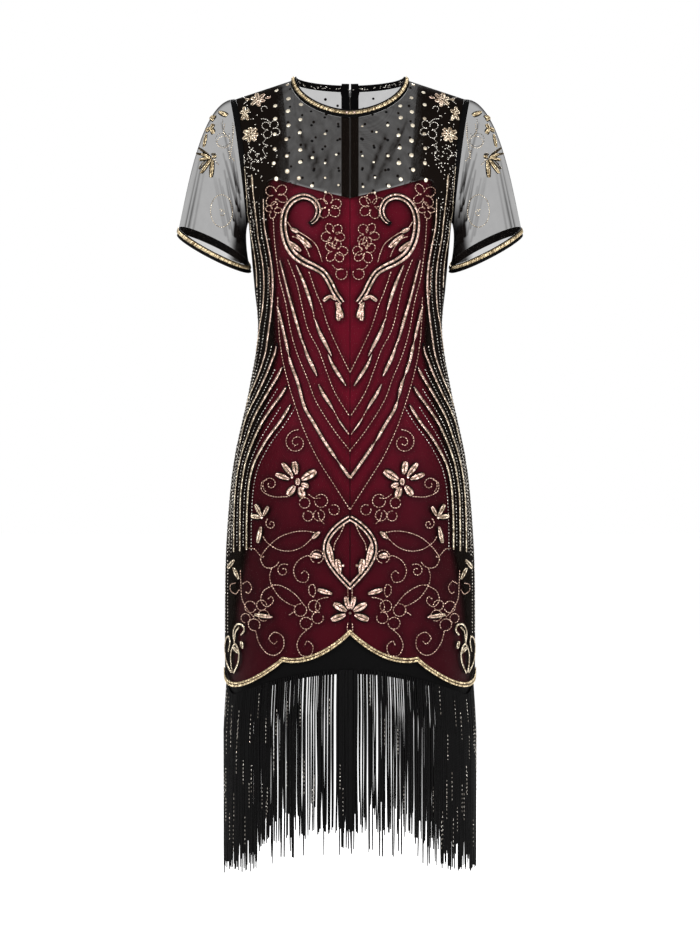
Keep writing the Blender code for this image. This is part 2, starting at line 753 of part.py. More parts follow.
def make_fringe_side(name, side, look):
    """A narrow strip sewn outside the hem band, from whose lower edge the strands are drawn out."""
    mesh = bmesh.new()
    inner = HEM_BAND_DEPTH - FRINGE_STRIP_GAP
    outer = inner - FRINGE_STRIP_WALL
    count = STRANDS_A_SIDE * 2 + 1
    side_end = 0.997
    lows = spread(-side_end, side_end, count)
    highs = spread(-side_end, side_end, 28)

    def corner(u, rise, depth):
        return mesh.verts.new(below_net(side, u, hem_band_low_z(u) + rise, depth))

    low_out = [corner(u, 0.0, outer) for u in lows]
    low_in = [corner(u, 0.0, inner) for u in lows]
    high_out = [corner(u, FRINGE_STRIP_HEIGHT, outer) for u in highs]
    high_in = [corner(u, FRINGE_STRIP_HEIGHT, inner) for u in highs]

    def joined(low, high):
        """Triangles between a fine lower line and a coarse upper one."""
        i = j = 0
        while i < len(low) - 1 or j < len(high) - 1:
            next_low = lows[i + 1] if i < len(low) - 1 else math.inf
            next_high = highs[j + 1] if j < len(high) - 1 else math.inf
            if next_low <= next_high:
                mesh.faces.new((low[i], low[i + 1], high[j]))
                i += 1
            else:
                mesh.faces.new((low[i], high[j + 1], high[j]))
                j += 1

    joined(low_out, high_out)
    joined(low_in, high_in)
    for k in range(len(highs) - 1):
        mesh.faces.new((high_out[k], high_out[k + 1], high_in[k + 1], high_in[k]))
    for end in (0, -1):
        mesh.faces.new((low_out[end], high_out[end], high_in[end], low_in[end]))
    for k in range(count):
        root = (low_out[k], low_out[k + 1], low_in[k + 1], low_in[k])
        if k % 2 == 0:
            mesh.faces.new(root)
            continue
        drift, extra = strand_sway(k)
        middle = (lows[k] + lows[k + 1]) / 2
        z = hem_band_low_z(middle) - FRINGE_LENGTH - extra
        tips = []
        for u, depth in ((lows[k], outer), (lows[k + 1], outer), (lows[k + 1], inner), (lows[k], inner)):
            tapered = middle + (u - middle) * STRAND_TAPER
            tips.append(mesh.verts.new(below_net(side, tapered, z, depth) + Vector((drift, 0, 0))))
        mesh.faces.new(tips)
        for a in range(4):
            b = (a + 1) % 4
            mesh.faces.new((root[a], root[b], tips[b], tips[a]))
    bmesh.ops.recalc_face_normals(mesh, faces=mesh.faces[:])
    data = bpy.data.meshes.new(name)
    mesh.to_mesh(data)
    mesh.free()
    finished(name, data, look)


# ---------------------------------------------------------------- raised beadwork


def ribbon_sheet(side, path, closed=False):
    """A ribbon along a path of (across, z, width), laid on the net, as a sheet at any depth."""
    count = len(path)
    rows = ([], [])
    for k in range(count):
        before = path[(k - 1) % count] if closed else path[max(k - 1, 0)]
        after = path[(k + 1) % count] if closed else path[min(k + 1, count - 1)]
        run = Vector((after[0] - before[0], after[1] - before[1])).normalized()
        across, z, width = path[k]
        for row, hand in zip(rows, (-1, 1)):
            row.append((across - run.y * hand * width / 2, z + run.x * hand * width / 2))

    def sheet(depth):
        return [[on_net(side, across, z, depth) for across, z in row] for row in rows]

    return sheet


def make_relief(name, sheet, look, closed=False):
    wall(name, sheet, -RELIEF_LIFT - RELIEF_WALL, RELIEF_WALL, look, closed)


def scroll_path(count):
    path = []
    for step in spread(0.0, SCROLL[-1][0], count):
        across, z, width = eased(SCROLL, step)
        path.append((across * MM, z * MM, width * MM))
    return path


def mandorla_path(count):
    """Round an almond: down its right side and up its left, seen from outside."""
    path = []
    for k in range(count):
        turn = k / count
        down = turn * 2 if turn <= 0.5 else (1 - turn) * 2
        hand = 1 if turn <= 0.5 else -1
        across = hand * MANDORLA_HALF * math.sin(math.pi * down**0.85)
        path.append((across, MANDORLA_TOP_Z + (MANDORLA_LOW_Z - MANDORLA_TOP_Z) * down, MANDORLA_BAND))
    return path


def flower_sheet(side, across, z):
    """Petals round an open eye."""
    columns = FLOWER_PETALS * 4
    rows = ([], [])
    for k in range(columns):
        angle = k / columns * 2 * math.pi
        petal = abs(math.cos(angle * FLOWER_PETALS / 2)) ** 0.6
        for row, reach in zip(rows, (FLOWER_NOTCH + (FLOWER_REACH - FLOWER_NOTCH) * petal, FLOWER_EYE)):
            row.append((across + reach * math.cos(angle), z + reach * math.sin(angle)))

    def sheet(depth):
        return [[on_net(side, a, height, depth) for a, height in row] for row in rows]

    return sheet


def make_beadwork(looks):
    scroll = ribbon_sheet(FRONT, scroll_path(16))
    make_relief("scroll_left", scroll, looks["gold"])
    make_relief("scroll_right", mirrored(scroll), looks["gold"])
    for side, name in ((FRONT, "front"), (BACK, "back")):
        almond = ribbon_sheet(side, mandorla_path(20), closed=True)
        make_relief(f"mandorla_{name}", almond, looks["gold"], closed=True)
        for across, hand in ((-FLOWER_ACROSS, "a"), (FLOWER_ACROSS, "b")):
            flower = flower_sheet(side, across, FLOWER_Z)
            make_relief(f"flower_{name}_{hand}", flower, looks["gold"], closed=True)


# ---------------------------------------------------------------- zip


def zip_sheet(x_start, x_end, columns, neck_heights):
    """A strip up the centre back, from the zip's end to these heights of the neck band, behind the band.

    Its columns run against x. Its rows are the net's own.
    """
    xs = spread(x_start, x_end, columns)
    heights = [net_point(BACK, 0.0, level).z for level in SKIRT_LEVELS + BODICE_LEVELS]
    rows = [ZIP_END_Z] + [z for z in heights if ZIP_END_Z + 5 * MM < z < NECK_BACK[1] - 5 * MM]

    def sheet(depth):
        grid = [[on_net(BACK, x, z, depth) for x in xs] for z in rows]
        behind = BAND_WALL + SEAM_GAP + depth - TAPE_DEPTH
        for height in neck_heights:
            grid.append([neck_band_inwards(math.pi + x / NECK_BAND_SIDE[0], height, behind) for x in xs])
        return grid

    return sheet


def prism(name, outline, low, high, place, look):
    """An outline carried from one height to another, where place(a, b, height) puts its points."""
    shape = bmesh.new()
    base = shape.faces.new([shape.verts.new(place(a * MM, b * MM, low)) for a, b in outline])
    drawn = bmesh.ops.extrude_face_region(shape, geom=[base])["geom"]
    far = [vert for vert in drawn if isinstance(vert, bmesh.types.BMVert)]
    bmesh.ops.translate(shape, verts=far, vec=place(0, 0, high) - place(0, 0, low))
    bmesh.ops.recalc_face_normals(shape, faces=shape.faces[:])
    mesh = bpy.data.meshes.new(name)
    shape.to_mesh(mesh)
    shape.free()
    return finished(name, mesh, look)


def combine(piece, tool, operation):
    """Joins a helper to a piece or cuts it out, and keeps the helper as a hidden guide."""
    step = piece.modifiers.new("Combine", "BOOLEAN")
    step.operation = operation
    step.object = tool
    tool.hide_render = True
    tool.display_type = "WIRE"


def facing(a, b, height):
    """Outlines seen from outside: across, up the tape, and out from it."""
    return Vector((a, height, b))


def edge_on(a, b, height):
    """Outlines seen from the side: out from the tape, up it, and across."""
    return Vector((height, a, b))


def both_hands(right):
    """An outline whose right half runs up from its foot, closed by that half's mirror image."""
    return [*right, *((-across, up) for across, up in reversed(right) if across > 0)]


# Outlines of the zip's metal, in mm: across and up, and for the crown out from the plate and up.
SLIDER_PLATE = both_hands([(3.0, -4.5), (3.6, -1.0), (3.6, 3.0), (2.2, 4.5)])
SLIDER_CROWN = [
    (-0.4, -3.2), (2.8, -3.2), (3.4, -2.4), (3.4, 2.4), (2.8, 3.2), (-0.4, 3.2),
    (-0.4, 2.2), (2.4, 2.2), (2.4, -2.2), (-0.4, -2.2),
]
CROWN_HALF = 0.8 * MM
PULL_OUTLINE = both_hands([
    (0.0, -16.2), (1.6, -15.4), (2.4, -13.0), (1.8, -8.5), (2.4, -5.0), (2.4, 0.0), (1.9, 0.6),
])
PULL_WINDOW = both_hands([(1.4, -4.5), (1.4, -0.6)])


def make_zip(looks):
    inner = ZIP_CHAIN_WIDTH / 2 + SEAM_GAP
    right = zip_sheet(inner, inner + ZIP_TAPE_WIDTH, 2, ZIP_TAPE_NECK)
    wall("zip_tape_right", right, TAPE_DEPTH, TAPE_WALL, looks["band"])
    wall("zip_tape_left", mirrored(right), TAPE_DEPTH, TAPE_WALL, looks["band"])
    chain = zip_sheet(-ZIP_CHAIN_WIDTH / 2, ZIP_CHAIN_WIDTH / 2, 1, ZIP_CHAIN_NECK)
    wall("zip_chain", chain, TAPE_DEPTH, ZIP_CHAIN_WALL, looks["zip"])
    make_slider(looks["zip"])


def make_slider(look):
    """The slider lies on the net over the chain, and its pull hangs from a pin under its crown."""
    seat = on_net(BACK, 0.0, SLIDER_Z, 0.0)
    outward = on_net(BACK, 0.0, SLIDER_Z, -1.0) - seat
    lean = math.atan2(outward.z, outward.y)
    plate_top = SEAM_GAP + SLIDER_WALL
    slider = prism("zip_slider", SLIDER_PLATE, -SLIDER_WALL, 0.0, facing, look)
    crown = prism("crown", SLIDER_CROWN, -CROWN_HALF, CROWN_HALF, edge_on, look)
    combine(slider, crown, "UNION")
    pull = prism("zip_pull", PULL_OUTLINE, -PULL_WALL / 2, PULL_WALL / 2, facing, look)
    window = prism("pull_window", PULL_WINDOW, -PULL_WALL, PULL_WALL, facing, look)
    combine(pull, window, "DIFFERENCE")
    for piece in (slider, crown):
        piece.location = seat + outward * plate_top
    for piece in (pull, window):
        piece.location = seat + outward * (plate_top + PULL_PIN_HEIGHT)
    for piece in (slider, crown, pull, window):
        piece.rotation_euler.x = lean


def clear_scene():
    for old in list(bpy.data.objects):
        bpy.data.objects.remove(old)


def main():
    clear_scene()
    looks = make_materials()
    make_net(looks)
    make_slip(looks)
    make_yokes(looks)
    make_sleeves(looks)
    make_neck_band(looks)
    make_hem(looks)
    make_fringe_side("fringe_front", FRONT, looks["fringe"])
    make_fringe_side("fringe_back", BACK, looks["fringe"])
    make_beadwork(looks)
    make_zip(looks)


main()
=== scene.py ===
# %% [markdown]
# # A beaded flapper dress
#
# The dress is two garments in one. A slip of wine satin gives it colour and shape. Over it hangs black net,
# and everything that glitters is sewn to the net: bugle beads in lines and chevrons, leaves and blossoms,
# braid along the scallops, and a long fringe under them. Nobody wears it here, so its hollow shape has to
# look filled out all the same. We build cloth first, then beads on the cloth, then fringe, zip and light.

import math

import bpy
import numpy as np
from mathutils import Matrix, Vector
from mathutils.bvhtree import BVHTree
from mathutils.kdtree import KDTree


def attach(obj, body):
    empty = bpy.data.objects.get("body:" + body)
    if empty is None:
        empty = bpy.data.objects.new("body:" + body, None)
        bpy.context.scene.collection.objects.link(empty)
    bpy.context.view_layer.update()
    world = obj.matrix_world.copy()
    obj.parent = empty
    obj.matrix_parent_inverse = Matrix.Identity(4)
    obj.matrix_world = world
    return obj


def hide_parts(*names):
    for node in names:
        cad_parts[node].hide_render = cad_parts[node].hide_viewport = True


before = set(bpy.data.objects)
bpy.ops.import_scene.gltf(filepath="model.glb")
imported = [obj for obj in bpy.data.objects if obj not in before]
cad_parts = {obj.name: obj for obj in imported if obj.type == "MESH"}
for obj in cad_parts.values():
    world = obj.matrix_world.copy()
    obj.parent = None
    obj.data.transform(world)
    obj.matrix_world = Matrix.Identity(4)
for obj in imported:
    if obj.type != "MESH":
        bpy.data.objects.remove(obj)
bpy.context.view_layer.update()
MM = 0.001
FRONT, BACK = -1, 1

# %% [markdown]
# ## Shader maths that reads like maths
#
# A material is a small graph. Written node by node it is hard to read, so a `Signal` wraps one socket and
# lets Python's own signs add Math nodes: `1 - mask * 0.5` is two of them. Every other node comes from one
# method, `Look.node`, which takes its type, its settings and what goes into its sockets.

# %% Signals and looks


class Signal:
    """A socket that Python's arithmetic works on."""

    def __init__(self, look, socket):
        self.look, self.socket = look, socket

    def maths(self, operation, *values, clamp=False):
        settings = {"operation": operation, "use_clamp": clamp}
        return self.look.node("ShaderNodeMath", settings, dict(enumerate(values)))

    def __add__(self, other):
        return self.maths("ADD", self, other)

    def __sub__(self, other):
        return self.maths("SUBTRACT", self, other)

    def __rsub__(self, other):
        return self.maths("SUBTRACT", other, self)

    def __mul__(self, other):
        return self.maths("MULTIPLY", self, other)

    def __pow__(self, other):
        return self.maths("POWER", self, other)

    __radd__ = __add__
    __rmul__ = __mul__

    def sine(self):
        return self.maths("SINE", self)

    def size(self):
        return self.maths("ABSOLUTE", self)

    def most(self, other):
        return self.maths("MAXIMUM", self, other)

    def held(self):
        """Kept between 0 and 1."""
        return self.maths("ADD", self, 0.0, clamp=True)


class Look:
    """A material built round one Principled shader. What is the same all over sits on the shader's sockets."""

    def __init__(self, name, colour, **fixed):
        self.material = bpy.data.materials.new(name)
        self.material.use_nodes = True
        self.nodes, self.links = self.material.node_tree.nodes, self.material.node_tree.links
        self.shader = self.nodes["Principled BSDF"]
        self.shader.inputs["Base Color"].default_value = (*colour, 1)
        for socket, value in fixed.items():
            self.shader.inputs[socket.replace("_", " ")].default_value = value

    def node(self, kind, settings, inputs, output=0):
        made = self.nodes.new(kind)
        for name, value in settings.items():
            setattr(made, name, value)
        for key, value in inputs.items():
            if isinstance(value, Signal):
                self.links.new(value.socket, made.inputs[key])
            else:
                made.inputs[key].default_value = value
        return Signal(self, made.outputs[output])

    def place(self, attribute=None):
        """Object coordinates, or the piece's own UV map."""
        if attribute:
            return self.node("ShaderNodeUVMap", {"uv_map": attribute}, {})
        return self.node("ShaderNodeTexCoord", {}, {}, "Object")

    def value(self, attribute):
        return self.node("ShaderNodeAttribute", {"attribute_name": attribute}, {}, "Fac")

    def noise(self, place, scale, detail=2.0):
        return self.node("ShaderNodeTexNoise", {}, {"Vector": place, "Scale": scale, "Detail": detail})

    def parts(self, place):
        split = self.node("ShaderNodeSeparateXYZ", {}, {0: place})
        return [Signal(self, socket) for socket in split.socket.node.outputs]

    def mixed(self, mask, low, high):
        """A colour from low to high as the mask runs from 0 to 1."""
        first, second = ((*c, 1) if isinstance(c, tuple) else c for c in (low, high))
        settings = {"data_type": "RGBA"}
        made = self.node("ShaderNodeMix", settings, {"Factor": mask}, 2)
        for index, colour in ((6, first), (7, second)):
            if isinstance(colour, Signal):
                self.links.new(colour.socket, made.socket.node.inputs[index])
            else:
                made.socket.node.inputs[index].default_value = colour
        return made

    def feed(self, socket, signal):
        self.links.new(signal.socket, self.shader.inputs[socket])

    def bump(self, height, strength, distance):
        inputs = {"Height": height, "Strength": strength, "Distance": distance}
        self.feed("Normal", self.node("ShaderNodeBump", {}, inputs))


print("looks: one class for sockets, one for materials")

# %% [markdown]
# ## Cloths
#
# Net is a grid of fine threads with holes between them. The holes are smaller than a picture point, so what
# the eye gets is a veil: some share of the light goes through. That share is the Alpha, and it rises where
# the net lies in folds. The piece carries a number called `veil` at each point for that. Satin is smooth and
# a little shiny, and its number `shade` says how far it sinks into black: black cloth at the sides, painted
# shade that dims it away from the middle and low down, and a painted shadow round dense beading.

# %% Net, satin and bands
WEAVE = "weave"  # the cloth pieces' own map, in metres across and up the cloth
NET_PITCH = 1.7 * MM


def net_look(name, colour, cover):
    look = Look(name, colour, Roughness=0.8, Specular_IOR_Level=0.02)
    across, up, _ = look.parts(look.place(WEAVE))
    turn = math.pi / NET_PITCH
    threads = ((across + up) * turn).sine().size().most(((across - up) * turn).sine().size())
    uneven = look.noise(look.place(WEAVE), 60.0)
    veil = look.value("veil") * cover * (0.80 + threads * 0.12 + uneven * 0.2)
    look.feed("Alpha", veil.held())
    return look


yoke_net = net_look("black net", (0.0042, 0.0028, 0.0021), 1.0)
sleeve_net = net_look("sleeve net", (0.0045, 0.0034, 0.0030), 1.0)

satin = Look("wine satin", (0.2, 0.01, 0.03), Specular_IOR_Level=0.22, Specular_Tint=(1.0, 0.14, 0.26, 1))
across, up, _ = satin.parts(satin.place(WEAVE))
# fold_patches: random patches that make a soft bump and paint the light and shade of soft folds into the wine
fold_patches = satin.noise(satin.place(), 9.0, 3.0)
wine = satin.mixed(fold_patches, (0.082, 0.0024, 0.0080), (0.132, 0.0042, 0.0150))
middle, _, _ = satin.parts(satin.place())
seam = (1 - middle.size() * 800).held() * 0.75
# The shade number and the seam take the wine towards black: black sides, a dark seam, painted shade and the beads'
# painted shadow
sunk = satin.mixed((satin.value("shade") + seam + satin.noise(satin.place(), 45.0) * 0.1 - 0.05).held(), wine, (0.0040, 0.0014, 0.0016))
satin.feed("Base Color", sunk)
satin.feed("Roughness", satin.noise(satin.place(WEAVE), 140.0) * 0.2 + 0.36)
satin.bump(((across + up * 0.5) * (math.pi / 0.0011)).sine() * 0.5 + fold_patches, 0.12, 0.0006)

band = Look("black binding", (0.0019, 0.0018, 0.0019), Specular_IOR_Level=0.03)
across, up, _ = band.parts(band.place(WEAVE))
ribs = (across * (math.pi / 0.0012)).sine().size()
band.feed("Roughness", band.noise(band.place(), 200.0) * 0.25 + 0.42)
band.bump(ribs, 0.35, 0.0005)
print("cloths:", *(look.material.name for look in (yoke_net, sleeve_net, satin, band)), sep=" / ")

# %% [markdown]
# ## Beads, foil and thread
#
# A bead line sparkles as if no two beads caught the light alike. Each bead carries one number, `glint`: a
# painted highlight that moves its colour from painted shade to bright, and its polish a little. Colour and
# roughness are all that change: metal stays metal.

# %% Gold, foil, fringe and zip
WINE_HALF, WINE_FADE = 0.115, 28  # metres from the centre to where rosier beads end, and how fast they do


def bead_look(name, dull, bright, roughness, over_wine=None):
    """Beads from painted shade to a painted highlight by their glint. Near the dress's centre they may be mixed rosier.
    """
    look = Look(name, bright, Metallic=0.75, Specular_IOR_Level=0.6)
    glint = look.value("glint")
    colour = look.mixed(glint, dull, bright)
    if over_wine:
        across, _, _ = look.parts(look.place())
        colour = look.mixed(((across.size() - WINE_HALF) * WINE_FADE).held(), look.mixed(glint, dull, over_wine), colour)
    look.feed("Base Color", colour)
    look.feed("Roughness", (1 - glint) * 0.22 + roughness)
    return look


# Each look runs from its first colour, painted shade, to its second, a painted highlight
gold = bead_look("pale gold beads", (0.16, 0.10, 0.05), (1.0, 0.88, 0.68), 0.15, over_wine=(0.96, 0.70, 0.61))
braid_gold = bead_look("braid gold", (0.13, 0.08, 0.028), (0.86, 0.71, 0.46), 0.15)
rose = bead_look("rose gold beads", (0.27, 0.14, 0.10), (0.90, 0.64, 0.50), 0.24)
silver = bead_look("silver beads", (0.24, 0.21, 0.18), (1.0, 0.95, 0.86), 0.18)

foil = Look("foil dots", (0.9, 0.8, 0.62), Metallic=0.6, Roughness=0.35)
crackle = foil.noise(foil.place(), 900.0, 3.0)
# flash: a painted glint for each dot, mixed with the foil's own crackle
flash = (foil.value("glint") * 0.7 + crackle * 0.5).held()
foil.feed("Base Color", foil.mixed(flash, (0.3, 0.23, 0.16), (0.93, 0.85, 0.68)))
foil.bump(crackle, 0.5, 0.0004)

thread = Look("black fringe thread", (0.0022, 0.0021, 0.0022), Specular_IOR_Level=0.06)
around, along, _ = thread.parts(thread.place(WEAVE))
twist = ((around * 6.0 + along * 2600.0)).sine()
thread.feed("Roughness", thread.noise(thread.place(), 400.0) * 0.4 + 0.25)
thread.bump(twist, 0.5, 0.0003)

enamel = Look("black enamelled zip", (0.03, 0.03, 0.032), Metallic=0.7, Specular_IOR_Level=0.6)
worn = enamel.noise(enamel.place(), 700.0, 4.0)
enamel.feed("Base Color", enamel.mixed((worn * 2.4 - 1.1).held(), (0.008, 0.008, 0.0085), (0.22, 0.20, 0.18)))
enamel.feed("Roughness", worn * 0.3 + 0.22)
print("beads:", *(look.material.name for look in (gold, rose, silver, foil)), sep=" / ")

# %% [markdown]
# ## The dress's form, as functions
#
# Everything lies on one form, so the form is a set of functions, the same ones that shaped the solids. A
# place on the body is a `side`, a `share` from -1 at one side seam to 1 at the other, and a `level`: 0 at
# the hem, 1 at the underarm, 2 at the neck and shoulders. They take whole arrays of places at once.

# %% The body's sections
SECTIONS = (
    # z,     half,  front, back, in mm
    (-190, 152.0, 118.0, 94.0),
    (-230, 148.5, 122.0, 90.0),
    (-285, 143.5, 111.0, 84.0),
    (-355, 138.0, 98.0, 82.0),
    (-445, 152.0, 104.0, 96.0),
    (-540, 172.5, 116.0, 112.0),
    (-620, 182.0, 122.0, 119.0),
    (-720, 187.0, 124.0, 121.0),
    (-900, 187.5, 124.0, 121.0),
    (-1160, 189.0, 124.0, 121.0),
)
FULLNESS = 0.16
CUP_HEIGHT, CUP_X, CUP_Z, CUP_SPREAD_X, CUP_SPREAD_Z = 10 * MM, 72 * MM, -232 * MM, 48 * MM, 55 * MM


def eased(rows, key):
    """A smooth curve through a table's rows, read at each key. Gives the other columns."""
    rows = np.array(rows, float)
    rows = rows[np.argsort(rows[:, 0])]
    keys = rows[:, 0]
    slope = np.zeros_like(rows)
    slope[1:-1] = (rows[2:] - rows[:-2]) / (keys[2:] - keys[:-2])[:, None]
    slope[0] = (rows[1] - rows[0]) / (keys[1] - keys[0])
    slope[-1] = (rows[-1] - rows[-2]) / (keys[-1] - keys[-2])
    key = np.clip(key, keys[0], keys[-1])
    i = np.clip(np.searchsorted(keys, key, side="right") - 1, 0, len(keys) - 2)
    span = (keys[i + 1] - keys[i])[..., None]
    t = ((key - keys[i]) / span[..., 0])[..., None]
    read = (
        rows[i] * (2 * t**3 - 3 * t**2 + 1)
        + slope[i] * span * (t**3 - 2 * t**2 + t)
        + rows[i + 1] * (3 * t**2 - 2 * t**3)
        + slope[i + 1] * span * (t**3 - t**2)
    )
    return [read[..., k] for k in range(1, rows.shape[1])]


def section(z):
    return [column * MM for column in eased(SECTIONS, np.asarray(z, float) / MM)]


def ring_depth(side, share, z):
    _, front, back = section(z)
    angle = share * np.pi / 2
    return (front if side == FRONT else back) * np.cos(angle) * (1 + FULLNESS * np.sin(angle) ** 2)


def cups(x, z):
    return CUP_HEIGHT * np.exp(-(((np.abs(x) - CUP_X) / CUP_SPREAD_X) ** 2) - ((z - CUP_Z) / CUP_SPREAD_Z) ** 2)


def skirt_point(side, share, z):
    """The net's outer face at or below the underarm."""
    x = section(z)[0] * np.sin(share * np.pi / 2)
    y = ring_depth(side, share, z) + (cups(x, z) if side == FRONT else 0)
    return np.stack(np.broadcast_arrays(x, side * y, z), -1)


waist_wide, hips_wide = (round(2 * float(section(z)[0]) * 1000) for z in (-0.355, -0.72))
print("waist is", waist_wide, "mm wide, hips", hips_wide)

# %% The bodice, the hem and the whole net
UNDERARM_Z, ARMHOLE_X = -190 * MM, 152 * MM
SHOULDER_TIP_X, SHOULDER_TIP_Z = 171 * MM, -5 * MM
ARMHOLE_FRONT, ARMHOLE_BACK, ARMHOLE_TURN = 56 * MM, 60 * MM, 0.96
ARMHOLE_FLARE, SHOULDER_ROLL, ARMHOLE_EASE, ARMHOLE_LOW_PART = 2.2, (1.6, 0.62), (2.2, 10.0), 0.35
NECK_SHARE, NECK_CORNER, NECK_SIDE_Z, NECK_RISE = 0.35, 0.012, 22 * MM, 0.9
NECK_FRONT, NECK_BACK = (68 * MM, -42 * MM), (52 * MM, 12 * MM)
SCALLOP_CENTRE_Z, SCALLOP_CUSP_Z, SCALLOP_SIDE_Z = -800 * MM, -840.6 * MM, -863 * MM
INNER_SCALLOP_DIP, OUTER_SCALLOP_DIP = 15.5 * MM, 29.5 * MM


def neck_curve(edge, across):
    depth, centre_z, side_z = edge
    return depth * np.cos(across), centre_z + (side_z - centre_z) * (1 - np.cos(across)) ** NECK_RISE


def top_edge(side, share):
    """Depth and height of the neck edge and the shoulder seam."""
    x = SHOULDER_TIP_X * np.sin(np.abs(share) * np.pi / 2)
    neck_x = SHOULDER_TIP_X * np.sin(NECK_SHARE * np.pi / 2)
    centre = NECK_FRONT if side == FRONT else NECK_BACK
    depth, z = neck_curve((*centre, NECK_SIDE_Z), np.arcsin(np.clip(x / neck_x, 0, 1)))
    along = (x - neck_x) / (SHOULDER_TIP_X - neck_x)
    in_neck = np.abs(share) < NECK_SHARE
    return np.where(in_neck, depth, 0), np.where(in_neck, z, NECK_SIDE_Z + (SHOULDER_TIP_Z - NECK_SIDE_Z) * along)


def bodice_half(t):
    return ARMHOLE_X + (SHOULDER_TIP_X - ARMHOLE_X) * t**ARMHOLE_FLARE


def bodice_point(side, share, climb):
    """The net's outer face above the underarm. Climb runs from 0 there to 1 at the top edge."""
    t = 1 - (1 - climb) ** 2
    top_depth, top_z = top_edge(side, share)
    z = UNDERARM_Z + (top_z - UNDERARM_Z) * t
    x = bodice_half(t) * np.sin(share * np.pi / 2)
    late, fast = SHOULDER_ROLL
    rolled = np.maximum(0, 1 - t**late) ** fast
    depth = top_depth * (1 - rolled) ** 1.5 + ring_depth(side, share, np.full_like(z, UNDERARM_Z)) * rolled
    low = np.maximum(0, 1 - t / ARMHOLE_LOW_PART)
    bow = np.maximum(0, np.sin(np.pi * t**0.9)) ** 0.7
    reach = ARMHOLE_FRONT if side == FRONT else ARMHOLE_BACK
    depth = depth + reach * bow * np.abs(share) ** (ARMHOLE_EASE[0] + ARMHOLE_EASE[1] * low**2)
    if side == FRONT:
        depth = depth + cups(x, z) * (1 - t)
    return np.stack([x, side * depth, z], -1)


def hem_z(share):
    share = np.abs(share)
    inner, outer = share / NECK_SHARE, (share - NECK_SHARE) / (1 - NECK_SHARE)
    near = SCALLOP_CENTRE_Z + (SCALLOP_CUSP_Z - SCALLOP_CENTRE_Z) * inner
    near = near - INNER_SCALLOP_DIP * np.maximum(0, np.sin(np.pi * inner)) ** 0.8
    far = SCALLOP_CUSP_Z + (SCALLOP_SIDE_Z - SCALLOP_CUSP_Z) * outer
    far = far - OUTER_SCALLOP_DIP * np.maximum(0, np.sin(np.pi * outer)) ** 0.8
    return np.where(share < NECK_SHARE, near, far)


def net_point(side, share, level):
    share, level = np.broadcast_arrays(np.asarray(share, float), np.asarray(level, float))
    low = hem_z(share)
    skirt = skirt_point(side, share, low + (UNDERARM_Z - low) * np.minimum(level, 1))
    bodice = bodice_point(side, share, np.clip(level - 1, 0, 1))
    return np.where((level > 1)[..., None], bodice, skirt)


def level_at(side, share, z):
    low = hem_z(share)
    climb = (z - UNDERARM_Z) / (top_edge(side, share)[1] - UNDERARM_Z)
    return np.where(z <= UNDERARM_Z, (z - low) / (UNDERARM_Z - low), 2 - np.sqrt(np.clip(1 - climb, 0, 1)))


def share_at(side, across, z):
    """The share at which the net is this far from the centre line at this height."""
    skirt = np.arcsin(np.clip(across / section(z)[0], -1, 1)) * 2 / np.pi
    bodice = np.zeros_like(skirt)
    for _ in range(8):
        climb = np.clip((z - UNDERARM_Z) / (top_edge(side, bodice)[1] - UNDERARM_Z), 0, 1)
        bodice = np.arcsin(np.clip(across / bodice_half(climb), -1, 1)) * 2 / np.pi
    return np.where(z <= UNDERARM_Z, skirt, bodice)


print("hem falls from", round(float(hem_z(0.0)) * 1000), "to", round(float(hem_z(0.7)) * 1000), "mm")

# %% [markdown]
# ## Moving a point off the cloth
#
# Beads sit on the net, the slip hangs under it. Both are the same point moved along the cloth's normal, so
# one function finds normals and another moves points. The normal comes from two short steps across and up
# the cloth. At the neck's corner, where two edges meet, the two sides' normals are mitred.

# %% Normals and depths


def body_face(side):
    """The net's outer face as a function of u and v whose u x v points outwards."""
    return lambda u, v: net_point(side, u if side == FRONT else -u, v)


def unit(vectors):
    return vectors / np.maximum(np.linalg.norm(vectors, axis=-1, keepdims=True), 1e-12)


def steep(face, u, v, top):
    step = 0.002
    along_u = face(u + step, v) - face(u - step, v)
    along_v = face(u, np.minimum(v + step, top)) - face(u, np.minimum(np.maximum(v - step, 0), top - step))
    return unit(np.cross(along_u, along_v))


def outward(face, u, v, top=2.0):
    u, v = np.broadcast_arrays(np.asarray(u, float), np.asarray(v, float))
    found = steep(face, np.where(v > 1, np.clip(u, -ARMHOLE_TURN, ARMHOLE_TURN), u), v, top)
    if top > 1:
        mitred = (v > 1) & (np.abs(np.abs(u) - NECK_SHARE) < NECK_CORNER)
        inner, outer = (steep(face, np.sign(u) * (NECK_SHARE + hand * NECK_CORNER), v, top) for hand in (-1, 1))
        corner = (inner + outer) / (1 + (inner * outer).sum(-1, keepdims=True))
        found = np.where(mitred[..., None], corner, found)
    return found


def inwards(face, u, v, depth, top=2.0):
    u, v = np.broadcast_arrays(np.asarray(u, float), np.asarray(v, float))
    return face(u, v) - outward(face, u, v, top) * np.asarray(depth, float)[..., None]


def on_net(side, across, z, lift):
    """Points over the net at places seen from outside, and the net's normals there."""
    across, z = np.asarray(across, float), np.asarray(z, float)
    u = share_at(side, across, z)
    v = level_at(side, u, z)
    normals = outward(body_face(side), u, v)
    return body_face(side)(u, v) + normals * lift, normals


def under_skirt(side, u, z, depth):
    """Points inside the net's outer face, or inside where it would go on below the hem."""
    step = 0.002
    place = u if side == FRONT else -u
    hand = 1 if side == FRONT else -1
    along = (skirt_point(side, place + hand * step, z) - skirt_point(side, place - hand * step, z))
    rise = skirt_point(side, place, z + step) - skirt_point(side, place, z - step)
    return skirt_point(side, place, z) - unit(np.cross(along, rise)) * np.asarray(depth, float)[..., None]


print("a bead over the heart lies at", np.round(on_net(FRONT, 0.06, -0.2, 0.001)[0], 3))

